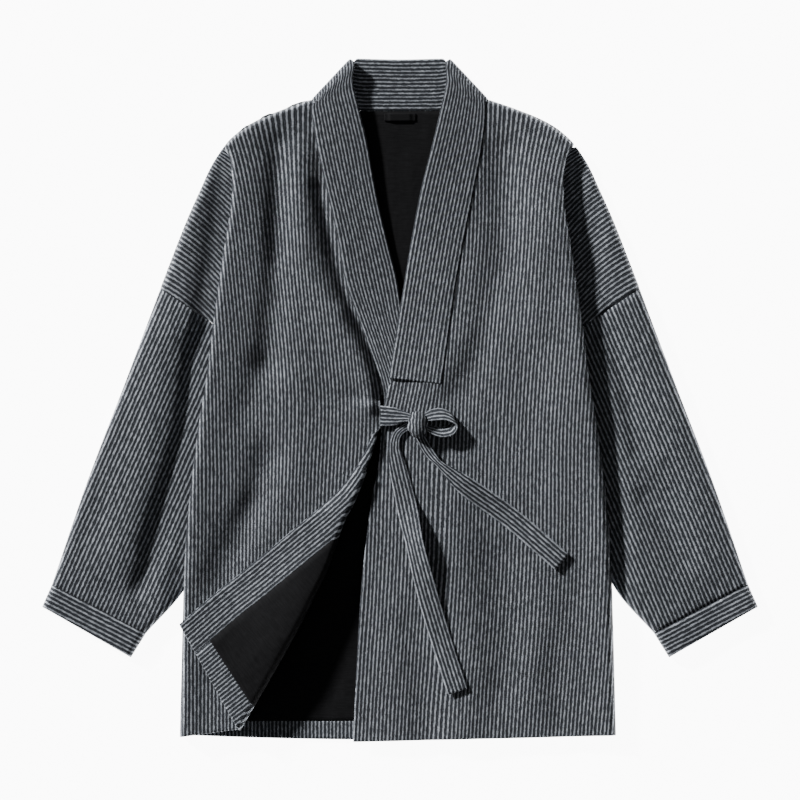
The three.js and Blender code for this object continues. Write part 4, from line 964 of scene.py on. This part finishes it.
class HANFU_OT_fronts(bpy.types.Operator):
    """Makes both fronts with their drop shoulders, and the facings and lining of the turned corner"""

    bl_idname = "hanfu.fronts"
    bl_label = "Fronts"

    def execute(self, context):
        self.left()
        self.right()
        self.corner_inside()
        return {"FINISHED"}

    def left(self):
        y = np.concatenate([[FRONT_HEM, -401, -399.5], np.linspace(-396, FRONT_TOP, 172)])[:, None]
        inner, outer = LEFT_INNER.at("x", y), body_edge_x(1, y)
        steps = SIDE_STEPS * np.minimum(1, (outer - inner) / LEFT_TAPER)
        start = outer - steps[:, :1]
        part = np.concatenate([[0, 0.004, 0.012], np.linspace(0.03, 1, 52)[:-1]])
        x = np.hstack([mix(inner, start, part), outer - steps])
        y = y + 0 * x
        z = front_top(1, x, y)
        dip = -LEFT_DIP * (1 - (x - inner) / (outer - inner)) * (1 - ease(y, *DIP_END))
        face = stood_up(grid_of(x, y + dip, z))
        shells = [shell(face, inner_side(face, -CLOTH), stripes_at(1, x, y)), drop_shoulder(1)]
        obj = piece("front_left_cloth", shells, "front_left")

    def right(self):
        face, cut = right_front()
        shells = [shell(face, inner_side(face, CLOTH), cut), drop_shoulder(-1)]
        obj = piece("front_right_cloth", shells, "front_right")

    def corner_inside(self):
        rows = CornerRows()
        length = rows.inside_lengths()
        grid, side = rows.at(length), rows.side
        under, over = moved(grid, CLOTH + INSIDE_GAP), moved(grid, CLOTH + INSIDE_GAP + LINING)
        cut = grid_of(length, -side[:, None] + 0 * length)
        hem = int(np.searchsorted(side, HEM_STRIP_TOP))
        last = len(side) - 1 - int(np.sum(side > CORNER_TOP))
        inner, end = FACING_COLUMNS, grid.shape[1] - 1
        # name, node, slot, rows, columns, width and length
        parts = (
            ("facing_strip", "facing", "striped_cloth", 0, last, 0, inner, 46, 400),
            ("hem_strip", "hem_facing", "striped_cloth", 0, hem, inner, end, 170, 24),
            ("lining_cloth", "lining", "lining_cloth", hem, last, inner, end, 120, 300),
        )
        for name, node, slot, top, bottom, left, right, width, length in parts:
            rows, columns = slice(top, bottom + 1), slice(left, right + 1)
            face, back = drawn_in(over[rows, columns]), drawn_in(under[rows, columns])
            made = shell(face, back, cut[rows, columns])
            obj = piece("front_right_" + name, [made], "front_right_" + node, slot)


def drawn_in(grid):
    """The grid with its border drawn in by half a seam's gap."""
    taken = grid.copy()
    for edge, within in ((0, 1), (-1, -2)):
        taken[edge] += 0.5 * GAP * unit(grid[within] - grid[edge])
        taken[:, edge] += 0.5 * GAP * unit(grid[:, within] - grid[:, edge])
    return taken


class CornerRows:
    """The rows of the turned corner. Lengths are taken from the front's edge: over the turned part,
    round the fold, then under it on the body."""

    def __init__(self):
        side = np.concatenate([[-404, -402.5, -400], np.linspace(-396, -46, 150)])
        row = lambda name: CORNER.at(name, side)
        self.side = side
        self.radius = row("radius")[:, None]
        fold = grid_of(row("foldX"), row("foldY"))
        lining = CLOTH + INSIDE_GAP + LINING
        self.base = fold - CORNER_TILT * (self.radius + lining)
        self.up = np.array([-CORNER_TILT[1], CORNER_TILT[0]])
        self.edge = grid_of(row("edgeX"), row("edgeY"))
        self.top = self.base + self.up * CORNER_PITCH * pi * self.radius
        self.start = grid_of(side_x(-1, side), side)
        self.flap = np.linalg.norm(self.edge - self.top, axis=1)[:, None]
        self.turn = pi * self.radius
        self.body = np.linalg.norm(self.base - self.start, axis=1)[:, None]
        self.base_z = front_top(-1, self.base[:, 0], self.base[:, 1])[:, None]
        self.edge_z = front_level(-1, self.edge[:, 0], self.edge[:, 1])[:, None] + 1.2 * GAP

    def spaced(self, start, end, count):
        """Even steps between two lengths of each row, closer together round the fold."""
        turned = lambda length: np.clip((length - self.flap) / self.turn, 0, 1)
        measure = lambda length: length + TURN_WEIGHT * turned(length) * pi
        aims = mix(measure(start), measure(end), np.linspace(0, 1, count + 1))
        rows = []
        for k, aim in enumerate(aims):
            known = np.array([0, self.flap[k, 0], (self.flap + self.turn)[k, 0], 2000.0])
            rows.append(np.interp(aim, [measure(v)[k, 0] for v in known], known))
        return np.array(rows)

    def inside_lengths(self):
        """The columns of the corner's inside, from the front's edge to a little past its fold."""
        edge, seam = np.zeros_like(self.flap), np.full_like(self.flap, FRONT_FACING)
        end = np.maximum(self.flap + self.turn, FRONT_FACING) + UNDER_FOLD
        facing = self.spaced(edge, seam, FACING_COLUMNS)
        return np.hstack([facing, self.spaced(seam, end, INSIDE_COLUMNS)[:, 1:]])

    def at(self, length):
        """Points at lengths along each row."""
        part = np.clip(length / self.flap, 0, 1)[..., None]
        flat = mix(self.edge[:, None], self.top[:, None], part)
        top_z = self.base_z + 2 * self.radius
        ride = ease(self.flap, 0, 24)
        flap_z = mix(mix(top_z, self.edge_z, ride), top_z, ease(part[..., 0], 0, 1))
        angle = pi - np.clip((length - self.flap) / self.radius, 0, pi)
        reach = (self.radius * np.sin(angle))[..., None] * CORNER_TILT
        travel = (CORNER_PITCH * angle * self.radius)[..., None] * self.up
        rolled = self.base[:, None] + reach + travel
        roll_z = self.base_z + self.radius * (1 - np.cos(angle))
        along = np.clip((length - self.flap - self.turn) / self.body, 0, 1)[..., None]
        laid = mix(self.base[:, None], self.start[:, None], along)
        laid_z = front_top(-1, laid[..., 0], laid[..., 1])
        on_flap, on_roll = length < self.flap, length < self.flap + self.turn
        xy = np.where(on_flap[..., None], flat, np.where(on_roll[..., None], rolled, laid))
        z = np.where(on_flap, flap_z, np.where(on_roll, roll_z, laid_z))
        return grid_of(xy[..., 0], xy[..., 1], z)


def right_front():
    """The whole right front: the rows of its turned corner, then the rows above."""
    rows = CornerRows()
    length = rows.inside_lengths()
    whole = rows.flap + rows.turn + rows.body
    start = length[:, -1:]
    between = np.linspace(0, 1, BODY_COLUMNS)[1:-1]
    body = mix(start, whole - SIDE_STEPS[0], between)
    length = np.hstack([length, body, whole - SIDE_STEPS])
    turned = rows.at(length)
    beyond = np.maximum(rows.flap + rows.turn - length, 0)
    base = stripes_at(-1, rows.base[:, :1], rows.base[:, 1:])
    on_body = stripes_at(-1, turned[..., 0], turned[..., 1])
    turned_cut = np.where((beyond > 0)[..., None], base + grid_of(beyond, 0), on_body)
    count = FACING_COLUMNS + INSIDE_COLUMNS + 1
    y = np.linspace(-34, FRONT_TOP, 112)[:, None]
    inner, outer = RIGHT_INNER.at("x", y), body_edge_x(-1, y)
    scale = np.minimum(1, (inner - outer) / RIGHT_TAPER)
    edge = inner - RIGHT_EDGE * scale * np.linspace(0, 1, count)
    middle = mix(edge[:, -1:], outer + SIDE_STEPS[0] * scale, between)
    x = np.hstack([edge, middle, outer + SIDE_STEPS * scale])
    y = y + 0 * x
    flat = grid_of(x, y, front_top(-1, x, y))
    return stood_up(np.vstack([turned, flat])), np.vstack([turned_cut, stripes_at(-1, x, y)])


# ---------- Collar ----------


def band_stations(hand):
    """The seam and free edge of the band, from the middle of the neck down one front."""
    stations = [
        ((hand * sx, sy + GAP, NECK_LEVEL), (hand * fx, fy, NECK_LEVEL)) for sx, sy, fx, fy in NECK_BAND
    ]
    line = unit(TURN_FREE - TURN_SEAM)
    out = np.array([hand * line[1], -line[0]])
    for angle in np.radians(TURN_ANGLES):
        ends = []
        for (x, y), radius in zip((TURN_SEAM, TURN_FREE), FOLD_TURN):
            reach = radius * (sin(angle) - 1) - BAND / 2
            height = NECK_LEVEL + radius * (1 - cos(angle))
            ends.append((hand * x + reach * out[0], y + reach * out[1], height))
        stations.append(tuple(ends))
    table = LEFT_BAND if hand > 0 else RIGHT_BAND
    most = [np.inf] * len(table)
    if hand < 0:
        most[-2:] = RIGHT_SEAM_MOST
    for (sx, sy, fx, fy, free), limit in zip(table, most):
        seam_z = min(float(front_top(hand, np.array(sx), np.array(sy))) + SEAM_RISE, limit)
        stations.append(((sx, sy, seam_z), (fx, fy, free)))
    return stations


class HANFU_OT_collar(bpy.types.Operator):
    """Makes the collar band, in one length round the neck and down both fronts"""

    bl_idname = "hanfu.collar"
    bl_label = "Collar"

    def execute(self, context):
        stations = band_stations(-1)[:0:-1] + band_stations(1)
        seam, free = ([station[k] for station in stations] for k in (0, 1))
        places = np.linspace(0, len(stations) - 1, 260)
        last = len(stations) - 1
        places = np.sort(np.concatenate([places, [0.02, 0.05, last - 0.02, last - 0.05]]))
        a, b = on_curve(seam, places), on_curve(free, places)
        part = np.array([0, 0.012, 0.03, 0.07, 0.14, 0.25, 0.38, 0.5, 0.62, 0.75, 0.86, 0.93, 0.97, 0.988, 1])
        middle = mix(a[:, None], b[:, None], part[:, None])
        length = run_along((a + b) / 2)
        width = np.linalg.norm(b - a, axis=1)[:, None]
        edge = rounded(np.minimum(part, 1 - part)[None, :] * width, BAND_ROLL)
        half = (BAND / 2 * mix(ROLL_THIN, 1, edge) + 0.25 * edge)[..., None]
        normal = normals_of(middle)
        ends = len(RIGHT_BAND), len(stations) - len(LEFT_BAND) - 1
        over = np.clip(np.minimum(places - ends[0], ends[1] - places) / (len(TURN_ANGLES) - 1), 0, 1)
        cut = grid_of(part[None, :] * BAND_CUT - TURN_SHEAR * over[:, None], length[:, None])
        made = shell(middle + half * normal, middle - half * normal, cut)
        obj = piece("collar_band", [made], "collar")
        return {"FINISHED"}


# ---------- Ties ----------


def strip_shell(place, across, count=1.0):
    """A flat tube of cloth along places, whose half widths across are given."""
    middle = place[:, None] + across[:, None] * STRIP[:, None]
    edge = rounded((1 - np.abs(STRIP)) * np.linalg.norm(across, axis=1).max(), STRIP_ROLL)
    half = (TIE / 2 * mix(ROLL_THIN, 1, edge))[None, :, None]
    normal = normals_of(middle)
    length = run_along(place)
    width = mix(12, np.linalg.norm(across, axis=1), 0.55)[:, None]
    cut = grid_of(count * STRIP[None, :] * width, length[:, None])
    return shell(middle + half * normal, middle - half * normal, cut)


def tail_shell(table):
    """A tail that lies on the left front."""
    rows = np.array(table, float)
    places = np.linspace(0, len(rows) - 1, 14 * len(rows))
    places = np.concatenate([places[:-1], [places[-1] - 0.03, places[-1]]])
    at = on_curve(rows, places)
    side = unit(np.gradient(at[:, :2], axis=0)) @ np.array([[0, 1], [-1, 0]])
    half, turn = at[:, 4:5], np.radians(at[:, 3:4])
    under = at[:, None, :2] + side[:, None] * (STRIP[:, None] * half[:, None])
    base = front_top(1, under[..., 0], under[..., 1]).max(1)
    base = np.convolve(np.pad(base, 4, mode="edge"), np.ones(9) / 9, "valid")
    z = base + GAP + TIE / 2 + at[:, 2] + half[:, 0] * np.abs(np.sin(turn[:, 0])) * 0.6
    across = np.hstack([side * half * np.cos(turn), half * np.sin(turn)])
    return strip_shell(np.column_stack([at[:, :2], z]), across)


def strap_shell():
    at = on_curve(STRAP, np.linspace(0, len(STRAP) - 1, 40))
    return strip_shell(at[:, :3], np.stack([0 * at[:, 3], at[:, 3], 0 * at[:, 3]], -1))


def loop_shell():
    at = on_curve(LOOP, np.linspace(0, len(LOOP) - 1, 100))
    return strip_shell(at[:, :3], LOOP_ACROSS * at[:, 3:], LOOP_COUNT)


def knot_shell():
    """The knot: a rounded lump of wrapped tie."""
    around = np.linspace(0, 2 * pi, 64, endpoint=False)
    down = np.linspace(0.03, pi - 0.03, 40)
    ring, height = np.sin(down)[:, None], np.cos(down)[:, None]
    x, y, z = ring * np.cos(around), ring * np.sin(around), height + 0 * around
    wraps = 1 + 0.05 * np.cos(9 * (0.5 * x + y))
    outer = KNOT_MIDDLE + grid_of(x, y, z) * KNOT_HALF * wraps[..., None]
    inner = KNOT_MIDDLE + grid_of(x, y, z) * (KNOT_HALF * wraps[..., None] - 1.6)
    cut = grid_of(x * 14 + 2 * (1 - y * y), y * 16)
    return shell(outer, inner, cut, wrap=True)


class HANFU_OT_ties(bpy.types.Operator):
    """Makes the half bow: strap, knot, loop and two tails"""

    bl_idname = "hanfu.ties"
    bl_label = "Ties"

    def execute(self, context):
        # name, shell, node, width, length and what it lies on
        parts = (
            ("tie_strap_strip", strap_shell(), "tie_strap", 26, 45, "front_right_cloth"),
            ("tie_loop_strip", loop_shell(), "tie_loop", 26, 130, "tie_knot_wraps"),
            ("tie_tail_down_strip", tail_shell(DOWN_TAIL), "tie_tail_down", 26, 350, "front_left_cloth"),
            ("tie_tail_slant_strip", tail_shell(SLANT_TAIL), "tie_tail_slant", 26, 250, "front_left_cloth"),
            ("tie_knot_wraps", knot_shell(), "tie_knot", 30, 60, "front_left_cloth"),
        )
        pieces = [piece(name, [made], node) for name, made, node, *_ in parts]
        return {"FINISHED"}


# ---------- Stage ----------


class HANFU_OT_stage(bpy.types.Operator):
    """Makes the floor, the lights and the camera over the jacket"""

    bl_idname = "hanfu.stage"
    bl_label = "Stage"

    def execute(self, context):
        stage = context.scene.hanfu_stage
        for obj in context.selected_objects:
            obj.select_set(False)
        bpy.ops.mesh.primitive_plane_add(size=12, location=(0, 0, -0.0006))
        floor = context.object
        floor.name = "floor"
        floor.data.materials.append(pale_floor())
        key = bpy.data.lights.new("key light", "SUN")
        key.energy, key.angle = stage.key_strength, stage.key_softness
        key_obj = bpy.data.objects.new("key light", key)
        key_obj.rotation_euler = (0, pi / 2 - stage.key_height, pi - stage.key_turn)
        context.collection.objects.link(key_obj)
        world = bpy.data.worlds.new("studio")
        world.use_nodes = True
        world.node_tree.nodes["Background"].inputs["Color"].default_value = (1, 1, 1, 1)
        world.node_tree.nodes["Background"].inputs["Strength"].default_value = stage.fill_strength
        context.scene.world = world
        lens = bpy.data.cameras.new("camera")
        lens.lens = lens.sensor_width * stage.camera_height / stage.view_width
        lens.clip_end = 50
        camera = bpy.data.objects.new("camera", lens)
        camera.location = (0, 0, stage.camera_height + 0.012)
        context.collection.objects.link(camera)
        context.scene.camera = camera
        return {"FINISHED"}


# ---------- Sizes, panel and registration ----------

Float = bpy.props.FloatProperty
Colour = bpy.props.FloatVectorProperty


class HanfuSizes(bpy.types.PropertyGroup):
    """What a maker would change on the jacket's cloth"""

    stripe_pitch: Float(
        name="Stripe Pitch", description="From one light stripe to the next",
        default=0.0045, subtype="DISTANCE", precision=4,
    )
    unevenness: Float(
        name="Unevenness", description="Height of the cloth's small lumps",
        default=0.0009, subtype="DISTANCE", precision=4,
    )
    light_yarn: Colour(
        name="Light Yarn", description="Colour of the light stripes",
        default=(0.250, 0.268, 0.298), subtype="COLOR",
    )
    dark_yarn: Colour(
        name="Dark Yarn", description="Colour of the dark ground",
        default=(0.019, 0.021, 0.025), subtype="COLOR",
    )
    lining_colour: Colour(
        name="Lining", description="Colour of the lining", default=(0.0085, 0.0085, 0.0092), subtype="COLOR"
    )


class HanfuStage(bpy.types.PropertyGroup):
    """The lights and the camera"""

    key_strength: Float(name="Key Strength", description="Strength of the key light", default=8.5)
    key_softness: Float(
        name="Key Softness", description="Width of the key light", default=radians(5), subtype="ANGLE"
    )
    key_height: Float(
        name="Key Height", description="Of the key light over the floor",
        default=radians(20.5), subtype="ANGLE",
    )
    key_turn: Float(
        name="Key Turn", description="Of the key light from -X towards +Y",
        default=radians(39), subtype="ANGLE",
    )
    fill_strength: Float(
        name="Fill Strength", description="Strength of the light from all round", default=0.14
    )
    floor_glow: Float(name="Floor Glow", description="Light that the floor gives off", default=10.0)
    camera_height: Float(name="Camera Height", description="Over the jacket", default=6.0, subtype="DISTANCE")
    view_width: Float(
        name="View Width", description="Of the floor that the camera takes in",
        default=0.96, subtype="DISTANCE",
    )


class HANFU_PT_panel(bpy.types.Panel):
    """Lists the jacket's pieces and sizes"""

    bl_label = "Hanfu Jacket"
    bl_idname = "HANFU_PT_panel"
    bl_space_type = "VIEW_3D"
    bl_region_type = "UI"
    bl_category = "Hanfu"

    def draw(self, context):
        for group in (context.scene.hanfu_sizes, context.scene.hanfu_stage):
            box = self.layout.box()
            for name in group.bl_rna.properties.keys():
                if name not in ("rna_type", "name"):
                    box.prop(group, name)
        for step in STEPS:
            self.layout.operator(step.bl_idname)


STEPS = (HANFU_OT_back, HANFU_OT_sleeves, HANFU_OT_fronts, HANFU_OT_collar, HANFU_OT_ties, HANFU_OT_stage)
CLASSES = (HanfuSizes, HanfuStage, *STEPS, HANFU_PT_panel)


def register():
    for cls in CLASSES:
        bpy.utils.register_class(cls)
    bpy.types.Scene.hanfu_sizes = bpy.props.PointerProperty(type=HanfuSizes)
    bpy.types.Scene.hanfu_stage = bpy.props.PointerProperty(type=HanfuStage)


def unregister():
    del bpy.types.Scene.hanfu_stage
    del bpy.types.Scene.hanfu_sizes
    for cls in reversed(CLASSES):
        bpy.utils.unregister_class(cls)


def main():
    register()
    for step in STEPS:
        group, name = step.bl_idname.split(".")
        getattr(getattr(bpy.ops, group), name)()


if __name__ == "__main__":
    main()
